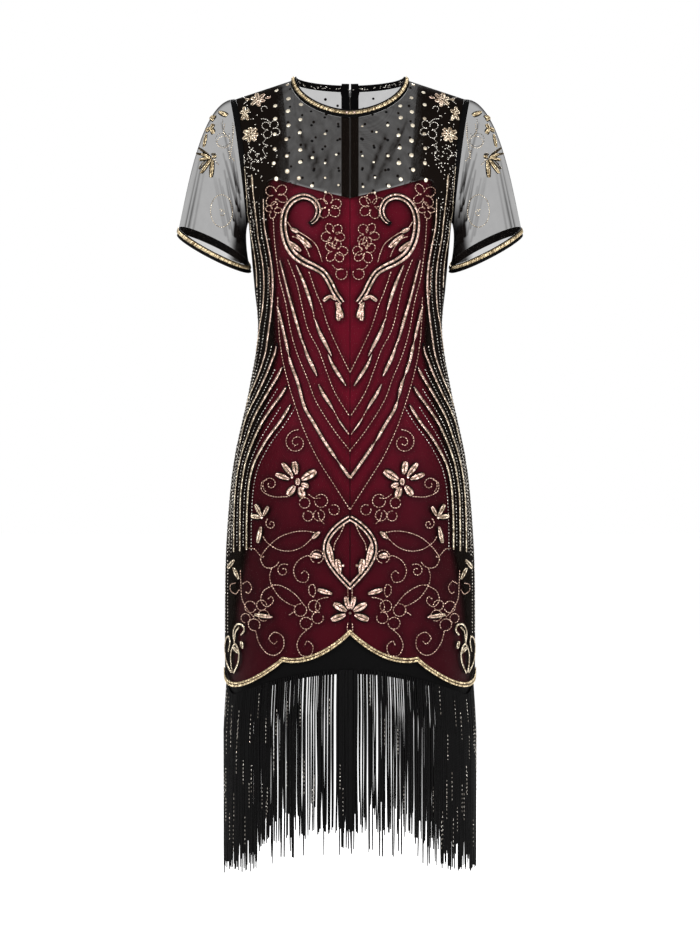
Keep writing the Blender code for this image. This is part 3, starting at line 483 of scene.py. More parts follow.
# %% [markdown]
# ## One tool for every cloth
#
# A cloth is a grid of points with a thin second face under it and a rim between the two, so it is closed,
# has a real edge, and shades well from both sides. Each piece gets a map in metres for its weave, so a thread
# is as wide on the sleeve as on the skirt, and numbers such as `veil` where its look changes.

# %% Cloth from rows of points
dress = "dress"
cloth_sizes = []


def grid_area(grid):
    a, b, c, d = grid[:-1, :-1], grid[:-1, 1:], grid[1:, 1:], grid[1:, :-1]
    halves = np.linalg.norm(np.cross(b - a, c - a), axis=-1) + np.linalg.norm(np.cross(c - a, d - a), axis=-1)
    return float(halves.sum() / 2)


def quads_of(rows, columns, closed):
    at = np.arange(rows * columns).reshape(rows, columns)
    ahead = np.roll(at, -1, axis=1)
    spans = slice(None) if closed else slice(0, columns - 1)
    return np.stack([at[:-1, spans], ahead[:-1, spans], ahead[1:, spans], at[1:, spans]], -1).reshape(-1, 4), at


def mesh_of(name, points, faces):
    """A mesh from arrays: faces all have the same number of corners."""
    mesh = bpy.data.meshes.new(name)
    corners = faces.shape[1]
    mesh.vertices.add(len(points))
    mesh.vertices.foreach_set("co", np.ascontiguousarray(points, np.float32).ravel())
    mesh.loops.add(faces.size)
    mesh.loops.foreach_set("vertex_index", np.ascontiguousarray(faces, np.int32).ravel())
    mesh.polygons.add(len(faces))
    mesh.polygons.foreach_set("loop_start", np.arange(0, faces.size, corners, dtype=np.int32))
    mesh.update(calc_edges=True)
    return mesh


def numbered(mesh, name, values):
    layer = mesh.attributes.new(name, "FLOAT", "POINT")
    layer.data.foreach_set("value", np.ascontiguousarray(values, np.float32).ravel())


def shown(name, mesh, look, replaced=(), body=dress):
    made = bpy.data.objects.new(name, mesh)
    bpy.context.scene.collection.objects.link(made)
    mesh.materials.append(look.material)
    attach(made, body)
    if replaced:
        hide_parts(*replaced)
    return made


def cloth(name, sheet, depth, wall, look, replaced, closed=False, numbers=None):
    """Cloth between sheet(depth) and sheet(depth + wall), or one surface where it has no wall.

    Columns x rows point outwards.
    """
    outer, inner = sheet(depth), sheet(depth + wall)
    rows, columns = outer.shape[:2]
    quads, at = quads_of(rows, columns, closed)
    under = rows * columns
    ahead = np.roll(at, -1, axis=1) if closed else at[:, 1:]
    behind = at if closed else at[:, :-1]
    rims = [np.stack([ahead[0], behind[0]], -1), np.stack([behind[-1], ahead[-1]], -1)]
    if not closed:
        rims += [np.stack([at[:-1, 0], at[1:, 0]], -1), np.stack([at[1:, -1], at[:-1, -1]], -1)]
    rim = np.concatenate(rims)
    rim = np.stack([rim[:, 0], rim[:, 1], rim[:, 1] + under, rim[:, 0] + under], -1)
    faces = np.concatenate([quads, quads[:, ::-1] + under, rim]) if wall else quads
    layers = [outer.reshape(-1, 3), inner.reshape(-1, 3)] if wall else [outer.reshape(-1, 3)]
    mesh = mesh_of(name, np.concatenate(layers), faces)
    mesh.shade_smooth()
    mesh.set_sharp_from_angle(angle=math.radians(50))
    whole = np.concatenate([outer, outer[:, :1]], 1) if closed else outer
    across = np.cumsum(np.linalg.norm(np.diff(whole, axis=1), axis=-1), axis=1)
    across = np.concatenate([np.zeros((rows, 1)), across], 1)
    up = np.concatenate([np.zeros((1, columns)), np.cumsum(np.linalg.norm(np.diff(outer, axis=0), axis=-1), axis=0)])
    flat_up = np.repeat(up.mean(1, keepdims=True), columns, 1) if closed else up
    width, length = float(across[:, -1].max()), float(up[-1].max())
    length = max(length, 10 * MM)  # the armhole's binding is cut this wide, and its edges are turned under
    area = min(grid_area(whole), width * length)
    point_map = np.stack([across[:, :columns], flat_up], -1).reshape(-1, 2)
    corner_at = faces % under
    places = point_map[corner_at]
    if closed:
        wraps = (corner_at % columns == 0) & (corner_at % columns).max(1, keepdims=True).__eq__(columns - 1)
        full = across[:, -1][corner_at // columns]
        places[..., 0] = np.where(wraps, full, places[..., 0])
    mesh.uv_layers.new(name=WEAVE).data.foreach_set("uv", places.astype(np.float32).ravel())
    for key, values in (numbers or {}).items():
        numbered(mesh, key, np.tile(np.broadcast_to(values, (rows, columns)).ravel(), len(layers)))
    made = shown(name, mesh, look, replaced)
    cloth_sizes.append((name, round(width * 1000), round(length * 1000), round(area, 4)))
    return made


def mirrored(sheet):
    def other(depth):
        grid = sheet(depth)[:, ::-1].copy()
        grid[..., 0] *= -1
        return grid

    return other


print("cloth: a grid, its second face and a rim")

# %% [markdown]
# ## Creases
#
# Cloth that hangs from shoulders and is held out by a body has few creases, and no two are alike: a pull
# from the bust to the waist, folds where the hips push the satin out. Each is given as a row of a
# table: where it starts, how long and wide it is, how it leans, and how deep it goes.

# %% Tables of creases
SATIN_CREASES = {
    FRONT: (
        # share, top z, low z, width, lean, depth, in mm but for the shares
        (0.10, -210, -330, 0.045, -0.03, 0.8),
        (-0.12, -220, -350, 0.05, 0.05, 0.7),
        (0.34, -290, -420, 0.05, -0.12, 0.9),
        (-0.33, -280, -400, 0.045, 0.10, 0.8),
        (0.05, -340, -430, 0.03, 0.03, 1.1),
        (-0.04, -350, -415, 0.028, -0.05, 0.9),
        (0.22, -520, -770, 0.06, 0.06, 1.0),
        (-0.28, -560, -800, 0.07, -0.03, 1.1),
        (0.52, -600, -850, 0.05, 0.05, 0.9),
        (-0.60, -580, -840, 0.055, -0.04, 1.0),
        (0.02, -640, -790, 0.05, -0.03, 0.8),
    ),
    BACK: (
        (0.16, -230, -380, 0.05, -0.08, 0.9),
        (-0.18, -240, -370, 0.055, 0.07, 0.8),
        (0.30, -330, -440, 0.05, -0.16, 1.1),
        (-0.31, -320, -450, 0.05, 0.18, 1.0),
        (0.20, -560, -800, 0.06, 0.04, 1.1),
        (-0.14, -590, -780, 0.05, -0.04, 1.0),
        (0.58, -570, -840, 0.06, 0.03, 1.0),
        (-0.52, -600, -850, 0.05, -0.05, 0.9),
    ),
}
YOKE_PULLS = (
    # share, top z, low z, width, lean, veil: fine diagonal folds, where the net lies double
    (0.22, -62, -150, 0.012, -0.13, 0.16),
    (0.30, -58, -160, 0.010, -0.17, 0.12),
    (0.36, -40, -120, 0.012, -0.14, 0.14),
    (-0.26, -66, -140, 0.012, 0.10, 0.12),
    (-0.33, -45, -150, 0.010, 0.15, 0.15),
    (-0.16, -80, -150, 0.010, 0.06, 0.10),
    (0.48, -30, -110, 0.014, -0.08, 0.12),
    (-0.47, -30, -120, 0.013, 0.07, 0.12),
)


def folds(rows, u, z):
    """The sum of a table's folds at each place: each is a soft line, strongest half way down."""
    total = np.zeros(np.broadcast(u, z).shape)
    for share, top, low, width, lean, amount in rows:
        down = np.clip((top * MM - z) / ((top - low) * MM), 0, 1)
        total += amount * np.exp(-(((u - share - lean * down) / width) ** 2)) * np.sin(np.pi * down) ** 0.7
    return total


print("creases:", sum(len(rows) for rows in SATIN_CREASES.values()), "in the satin,", len(YOKE_PULLS), "in the yoke")

# %% [markdown]
# ## The outer net
#
# The front is one piece, the back is two that part for the zip. The yoke looks darker than the sleeves
# because dotted net is made with more threads. Below the slip's edge the same net only veils the satin.

# %% Net front and backs
SEAM_GAP = 0.3 * MM
HALF_SHARES = np.concatenate([
    np.linspace(0, NECK_SHARE - NECK_CORNER, 16), [NECK_SHARE],
    np.linspace(NECK_SHARE + NECK_CORNER, 0.9, 26), [0.92, 0.94, 0.96, 0.98, 1.0],
])
LEVELS = np.concatenate([np.linspace(0, 0.97, 92), 1 + np.linspace(0, 1, 46) ** 1.15])
YOKE_VEIL, SKIRT_VEIL, BACK_VEIL = 0.86, 0.22, 0.46
SLIP_TOP = (
    # share,  z in mm
    (0.00, -163.7), (0.25, -149.0), (0.45, -137.5), (0.53, -134.8),
    (0.61, -140.0), (0.69, -158.0), (0.80, -180.0), (1.00, -197.0),
)
SLIP_BACK_TOP_Z = -163 * MM


def slip_top_z(side, share):
    if side == FRONT:
        return eased(SLIP_TOP, np.abs(share))[0] * MM
    side_z = SLIP_TOP[-1][1] * MM
    return SLIP_BACK_TOP_Z + (side_z - SLIP_BACK_TOP_Z) * np.abs(share) ** 3


SIDE_BLACK = (
    # z, where satin turns black: mm from the centre line
    (-130, 118), (-190, 124), (-250, 119), (-320, 114), (-372, 110), (-430, 118), (-500, 134), (-560, 147),
    (-640, 151), (-690, 154), (-730, 164), (-820, 172), (-880, 180),
)
SIDE_BLEND = 14 * MM


def side_shade(x, z):
    """How black the sides are, from 0 to 1."""
    edge = eased(SIDE_BLACK, z / MM)[0] * MM
    return np.clip((np.abs(x) - edge) / SIDE_BLEND + 0.5, 0, 1) ** 1.4


def painted_falloff(x, z):
    """Painted shade: the satin is brightest down the middle of the bust and waist, and dims outwards and low down."""
    out, low = np.clip(np.abs(x) / (125 * MM), 0, 1), np.clip((-z - 0.46) / 0.22, 0, 1)
    return 1 - (1 - 0.50 * out**1.3) * (1 - 0.56 * low * low * (3 - 2 * low))


def full_width(half):
    return np.concatenate([-half[:0:-1], half])


def net_sheet(side, shares):
    u, v = np.meshgrid(shares, LEVELS)

    def sheet(depth):
        grid = inwards(body_face(side), u, v, np.full(u.shape, depth))
        grid[-2:, :, 1] = side * np.maximum(side * grid[-2:, :, 1], SEAM_GAP / 2)
        return grid

    return sheet, u, v, net_point(side, u, v)[..., 2]


sheet, u, v, z = net_sheet(FRONT, full_width(HALF_SHARES))
above_slip = np.clip((z - slip_top_z(FRONT, u)) / (4 * MM) + 1.0, 0, 1)
veil = SKIRT_VEIL + (YOKE_VEIL - SKIRT_VEIL) * above_slip + folds(YOKE_PULLS, u, z) * above_slip
veil += 0.3 * np.clip((np.abs(net_point(FRONT, u, v)[..., 0]) / MM - 96) / 26, 0, 1) * above_slip
veil += 0.75 * side_shade(net_point(FRONT, u, v)[..., 0], z) * (1 - above_slip)
net_front = cloth(
    "net_front_cloth", sheet, 0, 0, yoke_net, ["net_front"], numbers={"veil": veil}
)
centre = np.concatenate([[SEAM_GAP / 2 / 0.239], HALF_SHARES[1:]])
sheet, u, v, z = net_sheet(BACK, centre)
side_veil = side_shade(net_point(BACK, u, v)[..., 0], z)
back_veil = BACK_VEIL + 0.6 * np.where(z < UNDERARM_Z, side_veil, np.clip((u - 0.80) / 0.1, 0, 1))
net_backs = [
    cloth(
        f"net_back_{name}_cloth", half, 0, 0, yoke_net, [f"net_back_{name}"],
        numbers={"veil": half_veil},
    )
    for name, half, half_veil in (("right", sheet, back_veil), ("left", mirrored(sheet), back_veil[:, ::-1]))
]
print("net:", len(net_front.data.polygons), "faces in front")

# %% [markdown]
# ## The slip
#
# Three panels of satin hang 3 mm under the net, so they never meet it. Satin that lies on a body is smooth
# with a few soft creases. At its sides it sinks into black, and painted shade dims it outwards and low down.
# The lines of beads get a painted shadow on it as well. We leave that for when the beads are there, and only
# note the sides and the painted shade now.

# %% Slip fronts and back
SLIP_DEPTH, SLIP_WALL, SLIP_HEM_RISE = 3.2 * MM, 0.8 * MM, 3 * MM
SLIP_ROWS, SLIP_COLUMNS = 170, 58


def slip_sheet(side, shares):
    u = np.repeat(shares[None], SLIP_ROWS, 0)
    step = np.linspace(0, 1, SLIP_ROWS)[:, None]
    low = hem_z(u) + SLIP_HEM_RISE
    z = low + (slip_top_z(side, u) - low) * step
    v = level_at(side, u, z)
    crease = folds(SATIN_CREASES[side], u, z) * MM * np.clip(step * 6, 0, 1)

    def sheet(depth):
        return inwards(body_face(side), u, v, depth + crease)

    x = net_point(side, u, v)[..., 0]
    # Black sides and painted shade together
    return sheet, 1 - (1 - side_shade(x, z)) * (1 - painted_falloff(x, z))


half = np.linspace(0, 1, SLIP_COLUMNS)
half[0] = SEAM_GAP / 2 / 0.239
sheet, shade = slip_sheet(FRONT, half)
slips = [
    cloth("slip_front_left_satin", sheet, SLIP_DEPTH, SLIP_WALL, satin, ["slip_front_left"],
          numbers={"shade": shade}),
    cloth("slip_front_right_satin", mirrored(sheet), SLIP_DEPTH, SLIP_WALL, satin, ["slip_front_right"],
          numbers={"shade": shade[:, ::-1]}),
]
sheet, shade = slip_sheet(BACK, full_width(np.linspace(0, 1, SLIP_COLUMNS)))
slips.append(cloth("slip_back_satin", sheet, SLIP_DEPTH, SLIP_WALL, satin, ["slip_back"],
                   numbers={"shade": shade}))
print("slip:", sum(len(piece.data.polygons) for piece in slips), "faces")

# %% [markdown]
# ## Inner yokes
#
# Two straps of the same net carry the slip over the shoulders. Seen through the outer net they are the
# darker bands at both sides of the yoke.

# %% Inner yokes
YOKE_ROWS = np.array([0.0, 0.12, 0.25, 0.38, 0.5, 0.62, 0.75, 0.85, 0.92])


def yoke_sheet(depth):
    """The left inner yoke, from the slip's front edge over the shoulder to its back edge."""
    shares = np.linspace(0.41, 0.90, 30)
    rows = []
    for side, steps in ((FRONT, YOKE_ROWS), (BACK, YOKE_ROWS[::-1])):
        u, step = np.meshgrid(shares, steps)
        low = level_at(side, u, slip_top_z(side, u) + 2 * SEAM_GAP)
        rows.append(inwards(body_face(side), u if side == FRONT else -u, low + (2 - low) * step, depth))
    return np.concatenate(rows)


for name, sheet in (("left", yoke_sheet), ("right", mirrored(yoke_sheet))):
    cloth(f"inner_yoke_{name}_net", sheet, SLIP_DEPTH, 0, yoke_net, [f"inner_yoke_{name}"],
          numbers={"veil": 0.5})
print("inner yokes: two straps")

# %% [markdown]
# ## Sleeves
#
# A sleeve is a tube from the armhole to the cuff. Its two ends are curves, and a smooth path joins each
# point of one to a point of the other. Its net pulls into fine lines that fan out from the underarm, where
# cloth is always short, and two long folds run down its outer edge.

# %% Sleeves, their bindings and cuffs
CUFF_CENTRE, CUFF_OUTWARDS = np.array([203.5, 0, -236.5]) * MM, np.array([55.5, 0, 27.5]) * MM
CUFF_DEPTH, CUFF_BACK_RISE = 56 * MM, 0.24
BINDING_WIDTH, CUFF_WIDTH, ARMHOLE_BINDING_OFF = 8.5 * MM, 12 * MM, 0.4 * MM
SLEEVE_LEAVE = np.array([[22, 0, -50], [155, 0, 0]]) * MM
SLEEVE_ARRIVE = np.array([[-20, 0, -50], [50, 0, -180]]) * MM
SLEEVE_FOLDS, SLEEVE_FOLD_DEPTH = 3, 2.2 * MM
SLEEVE_COLUMNS, SLEEVE_ROWS = 216, 120
SLEEVE_PULLS = (
    # foot x, z and head x, z, width, veil: seen from the front, on the wearer's left
    (166, -150, 192, -44, 1.2, 0.42),
    (168, -168, 188, -92, 1.2, 0.50),
    (172, -192, 186, -118, 1.3, 0.55),
    (167, -140, 178, -70, 1.1, 0.40),
    (178, -204, 194, -130, 1.3, 0.34),
    (165, -178, 173, -108, 1.3, 0.45),
    (184, -214, 204, -118, 1.6, 0.20),
    (170, -214, 168, -160, 2.6, 0.45),
    (247, -204, 224, -96, 1.2, 0.55),
    (240, -208, 220, -104, 1.6, 0.26),
)


def armhole_point(turn):
    """The left armhole. Turn runs once round: 0 at the shoulder, 0.25 front, 0.5 underarm."""
    turn = np.asarray(turn) % 1.0
    down = np.where(turn <= 0.5, turn * 2, (1 - turn) * 2)
    front, back = (bodice_point(side, np.ones_like(down), 1 - np.sqrt(down)) for side in (FRONT, BACK))
    return np.where((turn <= 0.5)[..., None], front, back) + np.array([ARMHOLE_BINDING_OFF, 0, 0])


def cuff_point(turn):
    angle = np.asarray(turn) * 2 * np.pi
    y = -CUFF_DEPTH * np.sin(angle)
    lean = np.stack([np.zeros_like(y), y, CUFF_BACK_RISE * y], -1)
    return CUFF_CENTRE + CUFF_OUTWARDS * np.cos(angle)[..., None] + lean


def sleeve_point(turn, t):
    """The left sleeve's outer face: t runs from 0 at the armhole to 1 at the cuff's edge."""
    turn, t = np.broadcast_arrays(np.asarray(turn, float), np.asarray(t, float))
    t, top = t[..., None], ((1 + np.cos(turn * 2 * np.pi)) / 2)[..., None]
    leave = SLEEVE_LEAVE[0] + (SLEEVE_LEAVE[1] - SLEEVE_LEAVE[0]) * top
    arrive = SLEEVE_ARRIVE[0] + (SLEEVE_ARRIVE[1] - SLEEVE_ARRIVE[0]) * top
    point = armhole_point(turn) * (2 * t**3 - 3 * t**2 + 1) + leave * (t**3 - 2 * t**2 + t)
    point = point + cuff_point(turn) * (3 * t**2 - 2 * t**3) + arrive * (t**3 - t**2)
    axis = CUFF_CENTRE * t + np.array([ARMHOLE_X, 0, UNDERARM_Z / 2]) * (1 - t)
    fold = np.cos(SLEEVE_FOLDS * 2 * np.pi * turn)[..., None] * np.sin(np.pi * np.minimum(t, 0.93)) * top**0.5
    return point + unit(point - axis) * SLEEVE_FOLD_DEPTH * fold


def sleeve_face(u, v):
    return sleeve_point(-np.asarray(u, float), 1 - v)


def sleeve_v(u, distance, from_cuff):
    """Where each line down the sleeve is this far from the cuff's edge, or from the armhole."""
    steps = np.linspace(0, 1, 81) if from_cuff else np.linspace(1, 0, 81)
    path = sleeve_face(np.asarray(u)[:, None], np.repeat(steps[None], len(u), 0))
    run = np.cumsum(np.linalg.norm(np.diff(path, axis=1), axis=-1), axis=1)
    return np.array([np.interp(distance, np.concatenate([[0], line]), steps) for line in run])


def pulls_at(points, rows):
    """How much each pull darkens each point: a soft line between its foot and its head."""
    x, z = np.abs(points[..., 0]) / MM, points[..., 2] / MM
    total = np.zeros(x.shape)
    for foot_x, foot_z, head_x, head_z, width, amount in rows:
        along_x, along_z = head_x - foot_x, head_z - foot_z
        t = ((x - foot_x) * along_x + (z - foot_z) * along_z) / (along_x**2 + along_z**2)
        t = np.clip(t, 0, 1)
        away = np.hypot(x - foot_x - along_x * t, z - foot_z - along_z * t)
        total += amount * np.exp(-((away / width) ** 2)) * (1 - 0.6 * t)
    return total


def sleeve_sheet(low, high, rows, creased=False):
    """Rings of the left sleeve between two lines, each given as (distance, from the cuff or not)."""
    turns = np.arange(SLEEVE_COLUMNS) / SLEEVE_COLUMNS
    start, end = sleeve_v(turns, *low), sleeve_v(turns, *high)
    v = start + (end - start) * np.linspace(0, 1, rows)[:, None]
    u = np.repeat(turns[None], rows, 0)
    crease = pulls_at(sleeve_face(u, v), SLEEVE_PULLS) * 2.4 * MM if creased else 0.0

    def sheet(depth):
        return inwards(sleeve_face, u, v, depth + crease, top=1.0)

    return sheet, u, v


SLEEVE_VEIL = 0.36
sheet, u, v = sleeve_sheet((CUFF_WIDTH + SEAM_GAP, True), (BINDING_WIDTH + SEAM_GAP, False), SLEEVE_ROWS, True)
points = sleeve_face(u, v)
veil = SLEEVE_VEIL + pulls_at(points, SLEEVE_PULLS)
near_body = np.clip((176 - points[..., 0] / MM - 0.16 * (points[..., 2] / MM + 200)) / 12, 0, 1)
veil += 0.6 * near_body * np.clip((-150 - points[..., 2] / MM) / 50, 0, 1)
veil += 0.5 * np.exp(-((np.minimum(u, 1 - u) / 0.008) ** 2))
sleeves = []
for hand, one in (("left", sheet), ("right", mirrored(sheet))):
    sleeves.append(cloth(f"sleeve_{hand}_net", one, 0, 0, sleeve_net, [f"sleeve_{hand}"], closed=True,
                         numbers={"veil": veil if hand == "left" else veil[:, ::-1]}))
binding, _, _ = sleeve_sheet((BINDING_WIDTH, False), (0.0, False), 4)
cuff, _, _ = sleeve_sheet((0.0, True), (CUFF_WIDTH, True), 5)
for hand, bound, hemmed in (("left", binding, cuff), ("right", mirrored(binding), mirrored(cuff))):
    cloth(f"armhole_binding_{hand}_band", bound, 0, 1.0 * MM, band, [f"armhole_binding_{hand}"], closed=True)
    cloth(f"cuff_band_{hand}_band", hemmed, 0, 1.2 * MM, band, [f"cuff_band_{hand}"], closed=True)
print("sleeves: cuffs are", cloth_sizes[-1][1], "mm round")

# %% [markdown]
# ## Neck band and hem bands
#
# The neck band stands on the net's edge and stops short of the zip. The hem bands hang inside the scallops
# and carry the fringe.

# %% Neck band and hem bands
NECK_BAND_SIDE, NECK_BAND_FRONT, NECK_BAND_BACK = (81 * MM, 29 * MM), (63 * MM, -29 * MM), (47 * MM, 22 * MM)
NECK_BAND_BASE, NECK_OPENING_HALF, BAND_WALL = 0.05, 2.0 * MM, 1.2 * MM
HEM_BAND_TOP_RISE, HEM_BAND_CENTRE_Z, HEM_BAND_SIDE_DROP, HEM_BAND_DEPTH = 30 * MM, -858 * MM, 48 * MM, 5.4 * MM


def neck_band_point(across, height):
    """Across is an angle, 0 at the front. Height runs from 0 at the net to 1 at the band's upper edge."""
    across, height = np.broadcast_arrays(np.asarray(across, float), np.asarray(height, float))
    front = np.cos(across) >= 0
    turn = np.arccos(np.abs(np.cos(across)))
    ends = []
    net_side = (SHOULDER_TIP_X * math.sin(NECK_SHARE * math.pi / 2), NECK_SIDE_Z)
    for (reach, side_z), ahead, behind in ((net_side, NECK_FRONT, NECK_BACK), (NECK_BAND_SIDE, NECK_BAND_FRONT, NECK_BAND_BACK)):
        front_depth, front_z = neck_curve((*ahead, side_z), turn)
        back_depth, back_z = neck_curve((*behind, side_z), turn)
        depth, z = np.where(front, -front_depth, back_depth), np.where(front, front_z, back_z)
        ends.append(np.stack([reach * np.sin(across), depth, z], -1))
    return ends[0] + (ends[1] - ends[0]) * height[..., None]


def neck_band_face(across, height, depth):
    step = 0.01
    along = neck_band_point(across + step, 0.5) - neck_band_point(across - step, 0.5)
    up = neck_band_point(across, 1.0) - neck_band_point(across, 0.0)
    normal = unit(np.cross(along, up))
    return neck_band_point(across, height) - normal * depth, normal


def hem_band_low_z(share):
    return HEM_BAND_CENTRE_Z - HEM_BAND_SIDE_DROP * np.sin(share * np.pi / 2) ** 2


def hem_band_sheet(side):
    u, step = np.meshgrid(full_width(np.linspace(0, 1, 60)), np.linspace(0, 1, 12))
    low, high = hem_band_low_z(u), hem_z(u) + HEM_BAND_TOP_RISE
    return lambda depth: under_skirt(side, u, low + (high - low) * step, np.full(u.shape, depth))


back_centre = math.pi - NECK_OPENING_HALF / NECK_BAND_SIDE[0]
turns, heights = np.meshgrid(np.linspace(-back_centre, back_centre, 150), np.linspace(NECK_BAND_BASE, 1, 6))
cloth("neck_band_binding", lambda depth: neck_band_face(turns, heights, depth)[0], -SEAM_GAP, BAND_WALL, band,
      ["neck_band"])
for side, name in ((FRONT, "front"), (BACK, "back")):
    cloth(f"hem_band_{name}_band", hem_band_sheet(side), HEM_BAND_DEPTH, BAND_WALL, band, [f"hem_band_{name}"])
print("bands: neck", cloth_sizes[-3][1], "mm, hem", cloth_sizes[-1][1], "mm on each side")

# %% [markdown]
# ## How beads are laid
#
# A bugle is a short tube. Laid side by side across a line they make a solid gold stripe, laid end to end
# with gaps they make a fine dashed one. Both start from the same thing: a path drawn flat, in millimetres
# from the centre line and up, and dropped on to the net. `Beads` gathers thousands of them and makes one
# mesh. Its arrays do at once what a loop would do one bead at a time.

# %% Beads on paths
rng = np.random.default_rng(1926)
BUGLE_SIDES = 6


class Beads:
    def __init__(self):
        self.centres, self.axes, self.normals, self.sizes, self.glints = [], [], [], [], []

    def add(self, centres, axes, normals, lengths, radius):
        count = len(centres)
        self.centres.append(centres)
        self.axes.append(unit(axes))
        self.normals.append(normals)
        self.sizes.append(np.stack([np.broadcast_to(lengths, count), np.broadcast_to(radius, count)], -1))
        self.glints.append(rng.random(count) ** 0.8)

    def count(self):
        return sum(len(c) for c in self.centres)

    def made(self, name, look, slot, replaced=(), belly=0.0, body=dress):
        """Tubes of six sides. With a belly they get a middle ring and turn into round beads."""
        centre, axis, normal = (np.concatenate(part) for part in (self.centres, self.axes, self.normals))
        size, glint = np.concatenate(self.sizes), np.concatenate(self.glints)
        other = unit(np.cross(axis, normal))
        normal = np.cross(other, axis)
        angle = np.arange(BUGLE_SIDES) * 2 * np.pi / BUGLE_SIDES
        ring = normal[:, None] * np.cos(angle)[None, :, None] + other[:, None] * np.sin(angle)[None, :, None]
        levels = ((-0.5, 1 - belly), (0.0, 1.0), (0.5, 1 - belly)) if belly else ((-0.5, 1.0), (0.5, 1.0))
        rings = [
            centre[:, None] + axis[:, None] * (size[:, 0] * step)[:, None, None] + ring * (size[:, 1] * reach)[:, None, None]
            for step, reach in levels
        ]
        points = np.stack(rings, 1).reshape(-1, 3)
        k = np.arange(BUGLE_SIDES)
        one = [np.stack([k + base, k + base + BUGLE_SIDES, (k + 1) % BUGLE_SIDES + base + BUGLE_SIDES, (k + 1) % BUGLE_SIDES + base], -1)
               for base in range(0, BUGLE_SIDES * (len(levels) - 1), BUGLE_SIDES)]
        last = BUGLE_SIDES * (len(levels) - 1)
        one += [np.array([[0, 1, 2, 3], [3, 4, 5, 0], [last + 3, last + 2, last + 1, last], [last, last + 5, last + 4, last + 3]])]
        one = np.concatenate(one)
        each = BUGLE_SIDES * len(levels)
        faces = (one[None] + (np.arange(len(centre)) * each)[:, None, None]).reshape(-1, 4)
        mesh = mesh_of(name, points, faces)
        numbered(mesh, "glint", np.repeat(glint, each))
        return shown(name, mesh, look, replaced, body)


def curve(points, pitch=0.6):
    """A smooth path through table rows (across, z[, width]), in mm, with a row every `pitch` mm."""
    points = np.array(points, float)
    run = np.concatenate([[0], np.cumsum(np.hypot(*np.diff(points[:, :2], axis=0).T))])
    steps = np.linspace(0, run[-1], max(2, int(run[-1] / pitch) + 1))
    return np.stack(eased(np.column_stack([run, points]), steps), -1)


def on_front(across, z, lift):
    return on_net(FRONT, across, z, lift)


def on_back(across, z, lift):
    return on_net(BACK, across, z, lift)


def threaded(place, path, pitch, lift):
    """Even places along a path on the cloth: points, directions, normals and the path's own columns."""
    points, normals = place(path[:, 0] * MM, path[:, 1] * MM, lift)
    run = np.concatenate([[0], np.cumsum(np.linalg.norm(np.diff(points, axis=0), axis=-1))])
    at = np.arange(pitch * MM / 2, run[-1], pitch * MM)
    if not len(at):
        at = np.array([run[-1] / 2])
    read = lambda values: np.stack([np.interp(at, run, values[:, k]) for k in range(values.shape[1])], -1)
    return read(points), unit(read(np.gradient(points, axis=0))), unit(read(normals)), read(path)


LAID_PITCH, LAID_RADIUS, LAID_LIFT = 1.45, 0.68 * MM, 1.15 * MM
RUN_PITCH, RUN_LENGTH, RUN_RADIUS, RUN_LIFT = 4.9, 3.0 * MM, 0.6 * MM, 0.8 * MM
# Dark strips under stripes and leaves: partly black embroidery, partly painted shade round the beads
outline_strips = []


def laid(beads, place, path, width=None, slant=0.3, dark_edged=True, shift=0.0):
    """Bugles across a path. Its third column, if it has one, is the width."""
    if np.any(shift):
        run = np.gradient(path[:, :2], axis=0)
        run /= np.maximum(np.hypot(*run.T), 1e-9)[:, None]
        path = path.copy()
        path[:, :2] += np.stack([-run[:, 1], run[:, 0]], -1) * np.asarray(shift)[..., None]
    points, ways, normals, columns = threaded(place, path, LAID_PITCH, LAID_LIFT)
    widths = (columns[:, 2] if width is None else np.full(len(points), width)) * MM
    keep = widths > 0.9 * MM
    across = unit(np.cross(normals, ways)) + ways * (slant + 0.1 * rng.standard_normal(len(points)))[:, None]
    beads.add(points[keep], across[keep], normals[keep], widths[keep] * (0.92 + 0.14 * rng.random(keep.sum())), LAID_RADIUS)
    # Painted light: the glints rise and fall along the line, so it goes bright and dark by turns
    at, phase = np.arange(keep.sum()) * LAID_PITCH, rng.random(2) * 6
    painted_shimmer = 0.98 + 0.6 * np.sin(at / 5.2 + phase[0]) * np.sin(at / 2.3 + phase[1])
    beads.glints[-1] = np.minimum(beads.glints[-1] ** 0.8 * painted_shimmer, 1)
    if dark_edged:
        outline_strips.append((points - normals * 0.8 * MM, unit(np.cross(normals, ways)), widths + 2.4 * MM))


def run(beads, place, path, pitch=RUN_PITCH, length=RUN_LENGTH):
    """Bugles along a path, end to end with a gap."""
    points, ways, normals, _ = threaded(place, path, pitch, RUN_LIFT)
    beads.add(points, ways + 0.08 * rng.standard_normal(points.shape), normals, length, RUN_RADIUS)


def dotted(beads, place, spots, radius=1.1):
    """Round beads at single places, in mm."""
    spots = np.array(spots, float)
    points, normals = place(spots[:, 0] * MM, spots[:, 1] * MM, radius * MM * 0.9)
    beads.add(points, normals, unit(np.cross(normals, [0.3, 0.2, 1.0])), 1.5 * radius * MM, radius * MM)


def hands(path):
    """A path and its mirror image."""
    other = np.array(path, float).copy()
    other[:, 0] *= -1
    return [np.array(path, float), other]


print("a bugle has", 2 * (BUGLE_SIDES + 4), "triangles")

# %% [markdown]
# ## Ordinary motifs
#
# Spirals, rings, petals and leaves turn up again and again, so each is a small function. A petal is two rows
# of slanted bugles that meet at its vein and swell and shrink like a leaf.

# %% Motifs


def spiral(x, z, reach, inner, start, turns, hand=1, steps=60):
    """From its outer end, at a start angle in degrees, inwards."""
    t = np.linspace(0, 1, steps)
    angle = np.radians(start) + hand * 2 * np.pi * turns * t
    radius = reach + (inner - reach) * t**0.8
    return np.stack([x + radius * np.cos(angle), z + radius * np.sin(angle)], -1)


